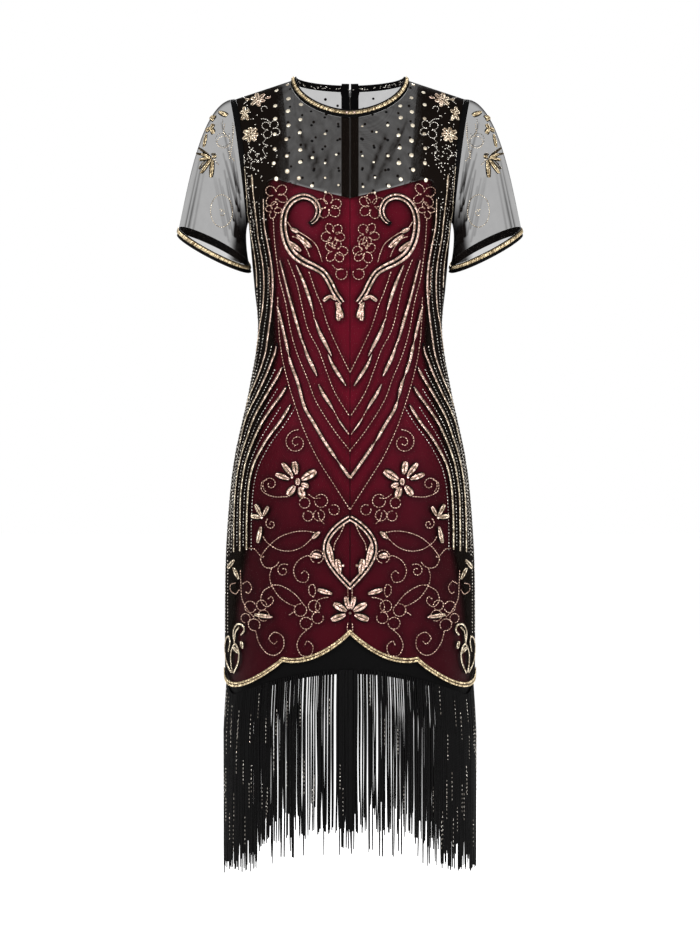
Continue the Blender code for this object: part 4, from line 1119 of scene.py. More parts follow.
def ring(x, z, reach, high=None, gap=0.0, start=0.0):
    angle = np.radians(start) + np.linspace(gap, 2 * np.pi - gap, 40)
    return np.stack([x + reach * np.cos(angle), z + (high or reach) * np.sin(angle)], -1)


def blossom(x, z, petals, reach, start=90.0):
    """An outlined flower: long rounded petals, no two alike, each open towards the middle."""
    for k in range(petals):
        angle = math.radians(start + 360 * k / petals + 8 * rng.standard_normal())
        along, across = np.array([math.cos(angle), math.sin(angle)]), np.array([-math.sin(angle), math.cos(angle)])
        high, wide = reach * (0.40 + 0.09 * rng.random()), reach * (0.31 + 0.10 * rng.random())
        turn = math.pi + np.linspace(0.4, 2 * math.pi - 0.4, 36)
        outline = along * (reach * 0.58 + high * np.cos(turn))[:, None] + across * (wide * np.sin(turn))[:, None]
        yield np.array([x, z]) + outline


def petal(beads, place, x, z, angle, near, far, width, dark_edged=True):
    """A leaf of beads from `near` to `far` mm away from a place, in a direction given in degrees."""
    way = np.array([math.cos(math.radians(angle)), math.sin(math.radians(angle))])
    t = np.linspace(0, 1, 24)
    swell = np.maximum(0.0, np.sin(np.pi * (0.08 + 0.84 * t) ** 1.25)) ** 0.6
    spine = np.array([x, z]) + way * (near + (far - near) * t)[:, None]
    path = np.column_stack([spine, width / 2 * swell])
    for hand in (-1, 1):
        laid(beads, place, path, slant=-hand * 0.75, shift=hand * width / 4 * swell, dark_edged=False)
        # Fewer painted highlights on a leaf, so its gold looks mottled with painted shade
        beads.glints[-1] = beads.glints[-1] ** 1.3
    if not dark_edged:
        return
    points, ways, normals, columns = threaded(place, path, LAID_PITCH, 0.35 * MM)
    outline_strips.append((points, unit(np.cross(normals, ways)), (2 * columns[:, 2] + 3.2) * MM))


def doubled(beads, place, path, between=2.8):
    """Two stripes with a dark line between them. The path's third column is their width together."""
    wide = path[:, 2]
    row_width = np.maximum(0.0, (wide - between) / 2)
    for hand in (-1, 1):
        one = path.copy()
        one[:, 2] = row_width
        laid(beads, place, one, slant=hand * 0.35, shift=hand * (row_width + between) / 2, dark_edged=False)
    points, ways, normals, columns = threaded(place, path, LAID_PITCH, 0.4 * MM)
    beaded = columns[:, 2] > between + 0.9
    outline_strips.append((points[beaded], unit(np.cross(normals, ways))[beaded], (columns[beaded, 2] + 3.4) * MM))


print("motifs: spiral, ring, blossom, petal, doubled")

# %% [markdown]
# ## The body's lines
#
# Gold lines run down both sides from the armhole, close in at the waist and spread over the hips. Four more
# start at the waist and curve out to join them. Nested points fill the middle. Their tables give one hand;
# the other hand mirrors it. Fine dashed lines run half way between two gold ones, so they need no table.

# %% Lines down the sides
SIDE_LINES = (
    # across, z, width, in mm, from the armhole to the low ends
    ((159, -112, 1.6), (159, -128, 2.4), (158, -144, 2.6), (155.5, -163, 2.8), (152, -178, 3.0),
     (148.5, -194, 3.0),
     (146, -213, 2.8), (143, -228, 2.8), (140, -247, 2.8), (138, -267, 2.8), (137.5, -286, 2.8),
     (137.5, -305, 2.8),
     (137.5, -324, 2.8), (137.3, -355, 2.8), (144.5, -400, 2.8), (157.2, -470, 2.8), (172.1, -540, 2.8),
     (185, -690, 2.8)),
    ((144, -126, 2.0), (143.5, -133, 5.0), (143.2, -140, 4.4), (142.6, -148, 2.4), (141.4, -160, 3.0),
     (140, -172, 4.0),
     (138.6, -185, 4.6), (137, -197, 4.2), (135, -216, 3.2), (132, -233, 3.0), (129, -249, 3.0),
     (126.8, -268, 3.2),
     (126.2, -288, 3.4), (127.2, -307, 3.4), (129.6, -327, 3.2), (133, -343, 3.2), (135.6, -360, 3.2),
     (138, -378, 3.2),
     (142, -405, 3.0), (149.3, -440, 3.0), (162.5, -500, 3.0), (178.9, -600, 3.0), (184.7, -690, 3.0)),
    ((126.8, -162, 2.2), (126.4, -180, 2.8), (125.8, -194, 3.6), (124.6, -206, 3.4), (122, -219, 3.4),
     (119, -234, 3.6),
     (116, -250, 3.8), (113.8, -269, 4.6), (113, -289, 4.6), (114, -308, 4.0), (116, -328, 3.8),
     (118.4, -347, 3.8),
     (121.3, -367, 3.8), (124, -386, 3.6), (128.8, -403, 3.6), (134.6, -419, 3.6), (140.5, -433, 3.4),
     (145.5, -444, 3.4),
     (151, -456, 3.2), (161.3, -500, 3.2), (177.8, -600, 3.2), (183.2, -688, 3.2)),
)
HIP_LINES = (
    ((107, -373), (109.8, -388), (115, -401), (120, -414), (126, -427.5), (131.5, -439), (137.5, -451.5),
     (146, -467),
     (154, -485), (159.2, -504), (170, -560), (175, -600), (180.4, -686)),
    ((98.3, -408), (107, -425), (116.5, -440.5), (124.3, -453.5), (132.5, -467.5), (140, -481.5),
     (146.3, -497),
     (151.6, -513), (157.3, -529), (165, -560), (169.5, -597), (171, -638), (171.2, -682)),
    ((92, -437), (101.4, -452), (112, -466), (121, -479), (129.4, -492), (137, -507), (143.6, -522),
     (149.5, -538),
     (154.8, -556), (160.5, -596), (161.6, -638), (161.6, -681)),
    ((86, -464), (95.5, -480), (105.2, -494.5), (115, -507), (123.4, -519), (130.4, -531), (136.6, -542.5),
     (142, -555),
     (147, -575), (149.6, -596), (151.4, -638), (151.5, -678)),
)
gold_front, gold_back = Beads(), Beads()
rose_front, rose_back = Beads(), Beads()
silver_beads, pearls = Beads(), Beads()
SIDES = ((on_front, gold_front, rose_front), (on_back, gold_back, rose_back))


def halfway(one, other, share=0.5, low=-680):
    """A line between two others, over the heights that they share."""
    one, other = (np.array(sorted((row[:2] for row in line), key=lambda row: -row[1]), float) for line in (one, other))
    top = min(one[0, 1], other[0, 1]) - 4
    z = np.arange(top, max(one[-1, 1], other[-1, 1], low), -6.0)
    across = [np.interp(-z, -line[:, 1], line[:, 0]) for line in (one, other)]
    return np.column_stack([across[0] + (across[1] - across[0]) * share, z])


def tapered(line, width, start=0.0, end=0.0):
    """A line's path with its width, which may swell from nothing over a part of each end."""
    path = curve(line)
    t = np.linspace(0, 1, len(path))
    swell = np.ones(len(t))
    if start:
        swell = swell * np.clip(t / start, 0.12, 1)
    if end:
        swell = swell * np.clip((1 - t) / end, 0.12, 1)
    return np.column_stack([path[:, :2], width * swell])


def inside(path, share):
    """A path held inside a share of the skirt's half width, where it would run off the side."""
    path = path.copy()
    most = np.where(path[:, 1] > UNDERARM_Z / MM, 999, share * section(path[:, 1] * MM)[0] / MM)
    path[:, 0] = np.clip(path[:, 0], -most, most)
    return path


GOLD_ENDS, EDGE_SHARES = (-290, -385, -468, -522), (0.991, 0.977, 0.962, 0.945)
# EDGE_DULL makes the painted highlights of the dots near the side seams rarer
EDGE_DULL = 1.9  # the power that makes bright dots rarer near the side seams
for place, gold_beads, rose_beads in SIDES:
    for line, end, share in zip((*SIDE_LINES, HIP_LINES[0]), GOLD_ENDS, EDGE_SHARES):
        wide = curve(line) * [1, 1, 0.78] if len(line[0]) == 3 else tapered(line, 3.2, start=0.06)
        for one in hands(wide):
            laid(gold_beads, place, one[one[:, 1] > end])
            run(silver_beads, place, inside(one[one[:, 1] < end - 2], share), pitch=5.4, length=2.2 * MM)
            silver_beads.glints[-1] = silver_beads.glints[-1] ** EDGE_DULL
    for line in HIP_LINES[1:]:
        wide = tapered(line, 3.8, start=0.04)
        wide[:, 2] *= np.linspace(1, 0.68, len(wide))
        for one in hands(wide):
            laid(gold_beads, place, one)
    bars = [*SIDE_LINES, *HIP_LINES]
    fine = [halfway(a, b) for a, b in zip(bars, bars[1:])]
    fine.append(np.array([row[:2] for row in SIDE_LINES[0][:8]], float) + [[5.5, 6]])
    fine.append(np.array(HIP_LINES[-1], float) - [[7, 4]])
    fine += [[(half * 187 / 187.5, z) for z in range(-694, -812, -10)] for half in (185.6, 181.5)]
    for line in fine:
        for one in hands(inside(curve(line), 0.99 if line[0][1] < -690 else 0.968)):
            run(silver_beads, place, one, pitch=4.8, length=2.2 * MM)
            silver_beads.glints[-1] = silver_beads.glints[-1] ** EDGE_DULL
print("sides:", gold_front.count(), "gold and", rose_front.count(), "rose beads in front")

# %% Nested points down the middle
POINTS = (
    # lines from the bust to the centre line: across, z, in mm
    ((60, -271), (50, -300), (41, -322), (32, -350), (17, -384), (0, -419)),
    ((91, -253), (84, -270), (77, -290), (69, -326), (61, -356), (46, -385), (36, -412), (22, -448),
     (0, -484)),
    ((112, -192), (110, -225), (107, -252), (103, -280), (94, -316), (87, -356), (77, -391), (62, -428),
     (50, -460),
     (24, -502), (0, -533)),
    ((106, -306), (105, -340), (103, -370), (98, -402), (89, -438), (80, -467), (67, -503), (48, -543),
     (23, -583),
     (0, -619)),
)
GOLD_POINT = ((107, -318), (100, -345), (93, -376), (87, -403), (76, -434), (66, -470), (52, -494), (38, -518),
              (22, -542), (0, -573))
SWELLING = (
    # across, z, width: gold that swells and shrinks on its way down
    ((78, -262, 1.6), (71, -278, 3.6), (64, -296, 4.6), (57, -318, 3.4), (54, -328, 1.0)),
    ((51, -340, 1.0), (45, -358, 4.6), (36, -376, 5.2), (27, -394, 1.0)),
    ((32, -392, 1.0), (25, -408, 4.2), (15, -424, 4.6), (6, -438, 1.0)),
    ((102, -254, 1.6), (97, -274, 2.4), (89, -306, 3.2), (80, -338, 4.4), (72, -366, 3.0), (68, -378, 1.2)),
    ((69, -372, 1.0), (62, -394, 4.4), (54, -411, 5.0), (48, -424, 1.0)),
    ((46, -436, 1.0), (39, -450, 4.6), (30, -464, 4.4), (24, -474, 1.0)),
    ((18, -486, 1.0), (12, -495, 2.6), (4, -506, 1.0)),
)
THIN_LINKS = (
    ((54, -328), (52, -340)), ((68, -378), (66, -384)), ((24, -474), (17, -487)), ((4, -506), (0, -512)),
    ((119, -262), (117, -300), (115, -318)), ((98, -268), (92, -292), (84, -322), (77, -350), (70, -372)),
)
for place, gold_beads, rose_beads in SIDES:
    for line in POINTS + THIN_LINKS:
        for one in hands(curve(line)):
            run(rose_beads, place, one)
    for one, gaps in zip(hands(tapered(GOLD_POINT, 4.0, start=0.03)), ((-372, -424, -458, -520), (-392, -548))):
        for gap in gaps:
            one[:, 2] *= np.clip(np.abs(one[:, 1] - gap) / 9, 0.25, 1)
        laid(gold_beads, place, one)
    for line in SWELLING:
        for one in hands(curve(line) * [1, 1, 0.92]):
            laid(gold_beads, place, one)
print("points:", gold_front.count(), "gold and", rose_front.count(), "rose beads in front")

# %% [markdown]
# ## Scrolls over the bust
#
# Each is a double stripe that curls like a fern, narrow at its end and widest round the bust. A leaf and two
# fine lines fill it, and a spray of three leaves hangs from its foot.

# %% Scrolls and their leaves
SCROLL = (
    # across, z, width
    (62, -206, 3.0), (50, -196, 6.4), (46, -182, 7.4), (53, -168, 8.0), (68, -162, 8.6), (84, -168, 9.2),
    (94, -182, 9.6), (97, -202, 10.0), (93, -226, 10.4), (83, -245, 10.6), (68, -257, 10.2),
    (50, -266, 9.4),
    (38, -274, 8.6), (29, -288, 8.6), (22, -302, 8.2), (11, -317, 6.8),
)
SCROLL_LINES = (
    ((91, -199), (84, -209), (72, -216), (60, -224), (50, -233), (44, -246), (40, -260)),
    ((84, -221), (76, -224), (68, -232), (62, -242), (58, -252)),
)
SCROLL_LEAVES = (
    # across, z, direction, length, width
    (86, -209, 210, 13, 6.0), (77, -219, 222, 27, 8.0), (88, -228, 220, 22, 6.5), (20, -316, -112, 24, 7.6),
    (16, -317, -88, 26, 8.0), (29, -306, -38, 13, 5.5), (30, -306, -150, 12, 5.0),
)
for place, gold_beads, rose_beads in SIDES:
    for hand, one in zip((1, -1), hands(curve(SCROLL))):
        doubled(gold_beads, place, one)
        for x, z, angle, length, width in SCROLL_LEAVES:
            petal(gold_beads, place, hand * x, z, angle if hand == 1 else 180 - angle, 0, length, width)
    for line in SCROLL_LINES:
        for one in hands(curve(line)):
            run(rose_beads, place, one, pitch=3.6, length=2.8 * MM)
BLOSSOMS = (
    # across, z, petals, reach, start: outlined flowers
    (31, -177, 5, 19, 18), (25, -219, 5, 17, 60), (21, -243, 5, 17, 100), (108, -158, 4, 18, 40),
    (112, -180, 4, 12, 10),
)
for place, gold_beads, rose_beads in SIDES:
    for x, z, petals, reach, start in BLOSSOMS:
        for hand in (1, -1):
            for line in blossom(x, z, petals, reach, start):
                one = line * [hand, 1]
                run(rose_beads, place, one, pitch=4.2, length=2.9 * MM)
    for one in hands(np.concatenate([spiral(13, -275, 9, 7, 150, 0.9), [[20, -268], [26, -262]]])):
        run(rose_beads, place, curve(one), pitch=4.0, length=2.6 * MM)
print("bust:", gold_front.count(), "gold and", rose_front.count(), "rose beads in front")

# %% [markdown]
# ## The skirt's garden
#
# Two big blossoms on curling stems, an almond in the middle, a small flower under it, and vines that fill
# the corners of the scallops.

# %% Blossoms, almond and vines
MANDORLA_TOP_Z, MANDORLA_LOW_Z, MANDORLA_HALF, MANDORLA_BAND = -631, -731, 35.5, 8.0
PETALS = (
    # middle across, z, then direction, start, end, width of each petal
    (76, -579, 20, 13, 34, 7.8), (76, -579, 51, 12, 35, 7.8), (76, -579, 80, 12, 31, 9.6),
    (76, -579, 148, 7, 31, 12.0),
    (76, -579, 202, 6, 17, 8.4), (76, -579, 250, 8, 24, 10.8), (76, -579, 308, 7, 24, 10.8),
    (76, -583, 90, 0, 9, 8.0),
    (128, -631, 118, 3, 19, 6.2), (128, -631, 62, 3, 22, 6.6), (128, -631, 8, 2, 17, 7.0),
    (129, -640, -78, 4, 29, 7.2),
    (0, -769, 30, 6, 27, 10.4), (0, -769, -20, 7, 29, 9.8), (0, -769, 74, 6, 24, 7.6),
    (44, -651, -42, 0, 14, 6.5), (42, -687, 12, 0, 13, 8.6), (24, -702, 78, 0, 34, 7.6),
    (15, -712, 80, 0, 22, 10.0),
    (113, -776, 6, 0, 26, 6.2), (26, -741, 16, 0, 22, 7.2),
    (170, -694, -50, 0, 17, 7.0), (163, -722, 62, 0, 18, 6.6), (162, -832, 42, 1, 13, 5.6),
    (157, -826, 78, 2, 13, 5.2),
)
FLOWER_EYES = ((84, -572, 2.6), (68, -588, 2.6), (128, -631, 2.6), (0, -769, 2.6), (10, -700, 3.4))
CORNER_LOOPS = (
    # a narrow leaf and a lobe that stand in the corners of the scallops, and a hook over them
    ((173, -861), (175.5, -846), (175, -830), (169, -818), (163.5, -828), (164, -844), (171, -861)),
    ((175, -861), (183, -846), (186, -828), (183.5, -812), (179, -808), (177, -816), (179.5, -830)),
    ((170, -817), (171.5, -800), (166, -789), (158, -789), (155, -797), (160, -804)),
    ((170, -814), (168, -800), (163, -793)),
)
VINES = (
    ((121, -575), (129, -580), (128, -592), (112, -600), (92, -600)),
    ((61, -596), (52, -602), (44, -602)),
    ((127, -658), (121, -667), (105, -677), (86, -679), (68, -672), (50, -655)),
    ((47, -653), (65, -650), (84, -652), (104, -660), (121, -675), (129, -686)),
    ((130, -686), (130, -694), (124, -703), (114, -704), (107, -700), (104, -696)),
    ((148, -676), (140, -677), (134, -683), (128, -689), (124, -685)),
    ((114, -704), (117, -716), (115, -729)),
    ((115, -729), (100, -730), (80, -742), (65, -760)), ((115, -729), (103, -746), (89, -756), (78, -760)),
    ((79, -766), (88, -772)), ((47, -750), (38, -747), (30, -746)), ((47, -750), (50, -760), (48, -768)),
    ((113, -730), (126, -738), (130, -752), (122, -761), (112, -754), (114, -746), (119, -749)),
    ((62, -793), (72, -803), (77, -817), (70, -831), (57, -830), (54, -817), (62, -810), (66, -817)),
    ((138, -796), (133, -814), (121, -829), (108, -831), (97, -820), (98, -804), (110, -798), (118, -807),
     (111, -815), (106, -811)),
    ((161, -708), (160, -730), (158, -752), (148, -769), (140, -777)),
    ((158, -729), (150, -725), (144, -733), (148, -742), (154, -740)),
    ((168, -728), (176, -731), (176, -740), (168, -744), (163, -738)),
    ((50, -690), (62, -686), (76, -694), (82, -708), (76, -722), (64, -724), (60, -714), (66, -708),
     (71, -712)),
    ((37, -640), (44, -632), (46, -624)), ((53, -746), (50, -738), (53, -728), (59, -730), (59, -741),
     (53, -746)),
    ((3, -733), (3, -744), (2, -752)), ((3, -783), (4, -791), (3, -799)),
    ((8, -640), (14, -654), (22, -668), (24, -680)),
)
SPIRALS = (
    # across, z, outer and inner reach, start, turns, hand
    (78, -521, 19, 2.5, 100, 1.7, -1), (116, -582, 13, 2.2, -60, 1.35, 1),
    (97, -708, 11, 2.0, 130, 1.3, -1),
    (115, -640, 9, 1.8, 60, 1.2, -1),
)
RINGS = (
    # across, z, reach
    (66, -609, 7.6), (42, -606, 9.4), (23, -619, 7.4), (61, -628, 7.2), (45, -627, 8.0), (72, -765, 9.0),
    (52, -759, 8.4),
    (47, -776, 8.2), (64, -784, 8.6), (146, -762, 8.4), (129, -759, 7.4), (126, -774, 8.0),
    (140, -788, 8.6), (153, -779, 6.8), (48, -687, 9.4),
)


def almond(steps=160):
    turn = np.arange(steps + 1) / steps
    down = np.where(turn <= 0.5, turn * 2, (1 - turn) * 2)
    across = np.where(turn <= 0.5, 1, -1) * MANDORLA_HALF * np.sin(np.pi * down**0.85)
    z = MANDORLA_TOP_Z + (MANDORLA_LOW_Z - MANDORLA_TOP_Z) * down
    return np.column_stack([across, z, np.full(len(turn), MANDORLA_BAND)])


for place, gold_beads, rose_beads in SIDES:
    doubled(gold_beads, place, almond())
    for x, z, angle, near, far, width in PETALS:
        petal(gold_beads, place, x, z, angle, near, far, width)
        petal(gold_beads, place, -x, z, 180 - angle, near, far, width)
    for line in CORNER_LOOPS:
        for one in hands(curve(line)):
            laid(gold_beads, place, one, width=2.5)
    fine = [curve(line) for line in VINES] + [spiral(*row) for row in SPIRALS]
    fine += [ring(x, z, reach, gap=0.25, start=20 * k) for k, (x, z, reach) in enumerate(RINGS)]
    for line in fine:
        for one in hands(line):
            run(rose_beads, place, one, pitch=4.2, length=2.9 * MM)
    eyes = [(hand * x, z) for x, z, _ in FLOWER_EYES for hand in (1, -1)]
    dotted(pearls, place, eyes, 2.4)
print("skirt:", gold_front.count(), "gold and", rose_front.count(), "rose beads in front")

# %% [markdown]
# ## Shoulders and sleeves
#
# Sprays of gold leaves sit on the shoulders and go on over the sleeves. A sleeve has no simple map from
# across and up, so its beads are dropped on to it instead: a ray goes in from the front or from the back and
# stops at the net.

# %% Sprays on the shoulders and sleeves
trees = [BVHTree.FromPolygons([v.co[:] for v in piece.data.vertices], [p.vertices[:] for p in piece.data.polygons])
         for piece in sleeves]


def on_sleeve(side):
    """Places on the sleeves, seen from the front or from the back."""

    def place(across, z, lift):
        points, normals = [], []
        for x, height in zip(np.asarray(across, float) * (1 if side == FRONT else -1), np.asarray(z, float)):
            tree = trees[0] if x > 0 else trees[1]
            start, way = Vector((x, side * 0.3, height)), Vector((0, -side, 0))
            hit, normal, _, _ = tree.ray_cast(start, way)
            if hit is None:
                hit, normal, _, _ = tree.find_nearest(Vector((x, side * 0.02, height)))
            normal = normal if normal.dot(Vector((x, 0, -0.1)) * 0.2 - way) > 0 else -normal
            points.append(hit + normal * lift)
            normals.append(normal)
        return np.array(points), np.array(normals)

    return place


gold_sleeves, rose_sleeves = Beads(), Beads()
SHOULDER_PETALS = (
    *((137, -10, 18 + 60 * k, 1, 11 + k % 3, 7.4) for k in range(6)), (137, -10, 172, 10, 20, 4.0), (137, -10, 4, 11, 19, 4.0),
    *((156, -31, angle, 0, reach, 6.4) for angle, reach in ((82, 10), (150, 8), (20, 7), (-70, 12), (-115, 13))),
    *((146, -66, 30 + 51 * k, 1, 12.5 - k % 2, 7.6) for k in range(7)),
)
SHOULDER_LINES = (
    ((132, -42), (124, -43), (117, -49)), ((128, -68), (124, -74), (128, -80), (121, -84)),
    ((121, -82), (128, -90), (124, -100), (132, -106)), ((160, -4), (152, -9), (158, -16)), ((142, -86),
     (150, -94), (144, -104)),
)
SLEEVE_PETALS = (
    (196, -26, -150, 0, 16, 6.0), (203, -40, 55, 0, 20, 6.4), (207, -52, 120, 0, 8, 7.0),
    (207, -52, -10, 0, 8, 7.0),
    (207, -52, -120, 0, 10, 6.0), (214, -60, -80, 0, 20, 5.6), (205, -97, 170, 0, 8, 3.6),
    (206, -98, 28, 0, 17, 3.8),
    (206, -98, -2, 0, 18, 3.6), (205, -99, -52, 0, 27, 5.4), (203, -101, -84, 0, 27, 5.6),
)
SLEEVE_LINES = (
    ((203, -94), (199, -104), (194, -110)), ((186, -46), (187, -60), (183, -66)), ((179, -88), (176, -98),
     (171, -104)),
    ((172, -50), (174, -76), (178, -100)),
)
for place, gold_beads, rose_beads in SIDES:
    for x, z, angle, near, far, width in SHOULDER_PETALS:
        petal(gold_beads, place, x, z, angle, near, far, width)
        petal(gold_beads, place, -x, z, 180 - angle, near, far, width)
    for line in (*SHOULDER_LINES, ring(127, -26, 4.4, gap=0.9, start=-120), *blossom(117, -59, 4, 15, 35)):
        for one in hands(curve(line)):
            run(silver_beads, place, one, pitch=3.3, length=2.3 * MM)
for side in (FRONT, BACK):
    place = on_sleeve(side)
    # Behind, everything stands a little higher, so that through the net it lies behind its twin in front.
    raised = np.array([1.028, 1.028]) if side == BACK else np.array([1.0, 1.0])
    lower = np.array([0, -556 * (1 - raised[1])])
    for x, z, angle, near, far, width in SLEEVE_PETALS:
        if side == FRONT or z < -70:
            x, z = np.array([x, z]) * raised + lower
            petal(gold_sleeves, place, x, z, angle, near, far, width, dark_edged=side == FRONT)
            petal(gold_sleeves, place, -x, z, 180 - angle, near, far, width, dark_edged=side == FRONT)
    fine = [curve(line) for line in SLEEVE_LINES]
    fine += [ring(187, -75, 10, 9), ring(190, -178, 16, 24), spiral(190, -182, 7, 2, 60, 0.7)]
    for line in fine:
        for one in hands(line * raised + lower):
            run(rose_sleeves, place, one, pitch=3.4, length=1.9 * MM)
    dotted(pearls, place, np.array([(190, -178), (-190, -178), (178, -66), (-178, -66)]) * raised + lower, 0.9)
print("sleeves:", gold_sleeves.count() + rose_sleeves.count(), "beads")

# %% [markdown]
# ## Dots, neck, cuffs and hem
#
# Foil dots stand in staggered columns on the yoke. Neck and cuffs have one row of bugles laid across, and
# the scallops two.

# %% Foil dots on the yoke
DOT_COLUMN, DOT_ROW, DOT_REACH = 18.4, 22.8, 3.5
dots, dark_dots = Beads(), Beads()
for side, place in ((FRONT, on_front), (BACK, on_back)):
    spots = []
    for column in range(-6, 7):
        for row in range(-1, 9):
            x = column * DOT_COLUMN + 1.3 * rng.standard_normal()
            z = 2 - row * DOT_ROW - (column % 2) * DOT_ROW / 2 + 1.3 * rng.standard_normal()
            share = float(share_at(side, np.array(x * MM), np.array(z * MM)))
            top_z = top_edge(side, np.array(share))[1]
            clear = 5 * MM < top_z - z * MM and z * MM > slip_top_z(side, share) - 3 * MM
            if clear and 15 < abs(x) < 118:
                spots.append((x, z, side == FRONT and (abs(x) > 62 or z < -125 or (row + column) % 2 and rng.random() < 0.8)))
    for wanted, beads in ((True, dots), (False, dark_dots)):
        found = np.array([spot[:2] for spot in spots if bool(spot[2]) == wanted])
        if not len(found):
            continue
        points, normals = place(found[:, 0] * MM, found[:, 1] * MM, 0.5 * MM)
        outer = np.clip(np.abs(found[:, 0]) / 72, 0.55, 1) * DOT_REACH if wanted else np.full(len(found), 2.3)
        beads.add(points, normals, unit(np.cross(normals, [1.0, 0.2, 0.1])), 0.6 * MM, outer * MM * (0.88 + 0.2 * rng.random(len(found))))
dots.made("foil_dots", foil, "gold", belly=0.12)
dark_dots.made("dark_dots", band, "net", belly=0.12)
print("dots:", dots.count(), "of foil,", dark_dots.count(), "dark")

# %% Neck, cuffs and hem
CUFF_BEADING_LOW, CUFF_BEADING_HIGH = 5 * MM, 10.5 * MM
HEM_ROWS = ((2.1, 3.0), (6.3, 2.9))  # mm above the net's edge, and each row's width


def row_of(beads, points, ways, normals, width, slant, radius=LAID_RADIUS):
    across = unit(np.cross(normals, ways)) + ways * (slant + 0.12 * rng.standard_normal(len(points)))[:, None]
    beads.add(points, across, normals, width * (0.92 + 0.12 * rng.random(len(points))), radius)


neck_beads, cuff_beads = Beads(), [Beads(), Beads()]
angle = np.linspace(-back_centre, back_centre, 4000)
points, normals = neck_band_face(angle, 0.56, -1.9 * MM)
length = np.concatenate([[0], np.cumsum(np.linalg.norm(np.diff(points, axis=0), axis=-1))])
at = np.interp(np.arange(0.7 * MM, length[-1], LAID_PITCH * MM), length, angle)
points, normals = neck_band_face(at, 0.56, -1.9 * MM)
in_front = np.cos(at) > -0.12
ways = unit(np.gradient(points, axis=0))
row_of(neck_beads, points[in_front], ways[in_front], normals[in_front], 5.6 * MM, 0.3)
neck_beads.made("neck_bugles", braid_gold, "gold", ["neck_beading"])
behind = ~in_front & (rng.random(len(at)) < 0.45)
silver_beads.add(points[behind], ways[behind], normals[behind], 1.6 * MM, 0.6 * MM)
inner_points = neck_band_face(at, 0.56, BAND_WALL + 0.5 * MM)[0] + rng.normal(0, 1.2 * MM, points.shape) * [1, 0, 1]
silver_beads.add(inner_points[behind], ways[behind], normals[behind], 1.9 * MM, 0.55 * MM)
for offset in (-0.055, 0.075):
    centre_point, centre_normal = neck_band_face(np.array([offset]), 0.5, -3.6 * MM)
    pearls.add(centre_point, centre_normal, np.array([[0.0, 0.3, 1.0]]), 3.4 * MM, 2.2 * MM)
turns = np.linspace(0, 1, 401)[:-1]
v = sleeve_v(turns, (CUFF_BEADING_LOW + CUFF_BEADING_HIGH) / 2, True)
points = inwards(sleeve_face, turns, v, np.full(len(v), -1.2 * MM), top=1.0)
normals = outward(sleeve_face, turns, v, 1.0)
closed = np.concatenate([points, points[:1]])
length = np.concatenate([[0], np.cumsum(np.linalg.norm(np.diff(closed, axis=0), axis=-1))])
at = np.arange(0, length[-1] - LAID_PITCH * MM / 2, LAID_PITCH * MM)
read = lambda values: np.stack([np.interp(at, length, np.concatenate([values, values[:1]])[:, k]) for k in range(3)], -1)
points, normals = read(points), unit(read(normals))
ways = unit(np.roll(points, -1, 0) - np.roll(points, 1, 0))
for hand, (beads, name) in enumerate(zip(cuff_beads, ("left", "right"))):
    flip = np.array([1 - 2 * hand, 1, 1])
    row_of(beads, points * flip, ways * flip, normals * flip, 5.4 * MM, 0.35)
    beads.made(f"cuff_bugles_{name}", braid_gold, "gold", [f"cuff_beading_{name}"])
for side, place, name in ((FRONT, on_front, "front"), (BACK, on_back, "back")):
    braid = Beads()
    u = np.linspace(-0.997, 0.997, 1600)
    for rise, width in HEM_ROWS:
        z = hem_z(u) + rise * MM
        x = section(z)[0] * np.sin(u * np.pi / 2)
        path = np.column_stack([x / MM, z / MM, np.full(len(u), width)])
        laid(braid, place, path, slant=0.45 if rise < 4 else -0.3, dark_edged=False)
    braid.made(f"hem_braid_{name}_beads", braid_gold, "gold", [f"hem_braid_{name}"])
print("edges:", neck_beads.count(), "neck,", cuff_beads[0].count(), "each cuff,", braid.count(), "each hem")

# %% Silver sprinkle and every joined mesh
for side, place in ((FRONT, on_front), (BACK, on_back)):
    spots = []
    for hand in (1, -1):
        for _ in range(90):
            climb = rng.random()
            z = -18 - climb * 215
            x = 128 + 36 * rng.random() ** 0.6 - 12 * climb
            if x * MM < float(section(min(z, -190) * MM)[0]) - 2 * MM if z < -190 else x < 160:
                spots.append((hand * x, z))
        for _ in range(46):
            x, z = 137 + 15 * rng.standard_normal(), -104 + 13 * rng.standard_normal()
            if x < 162 + z * 0.03 and z > -128:
                spots.append((hand * x, z))
    spots = np.array(spots)
    points, normals = place(spots[:, 0] * MM, spots[:, 1] * MM, 0.8 * MM)
    silver_beads.add(points, rng.standard_normal(points.shape), normals, 1.9 * MM, 0.7 * MM)


def off_zip(beads):
    """Beads on the back keep clear of the zip."""
    for k, centres in enumerate(beads.centres):
        keep = (np.abs(centres[:, 0]) > 14 * MM) | (centres[:, 2] < -424 * MM)
        beads.centres[k], beads.axes[k], beads.normals[k] = centres[keep], beads.axes[k][keep], beads.normals[k][keep]
        beads.sizes[k], beads.glints[k] = beads.sizes[k][keep], beads.glints[k][keep]


for beads in (gold_back, rose_back):
    off_zip(beads)
FRONT_RELIEF = ["scroll_left", "scroll_right", "mandorla_front", "flower_front_a", "flower_front_b"]
gold_front.made("gold_beads_front", gold, "gold", FRONT_RELIEF)
gold_back.made("gold_beads_back", gold, "gold", ["mandorla_back", "flower_back_a", "flower_back_b"])
rose_front.made("rose_beads_front", rose, "gold")
rose_back.made("rose_beads_back", rose, "gold")
gold_sleeves.made("gold_beads_sleeves", braid_gold, "gold")
rose_sleeves.made("fine_beads_sleeves", gold, "gold")
silver_beads.made("silver_beads", silver, "gold")
pearls.made("round_beads", gold, "gold", belly=0.45)
total = sum(b.count() for b in (gold_front, gold_back, rose_front, rose_back, gold_sleeves, rose_sleeves, silver_beads))
print("beads in all:", total)

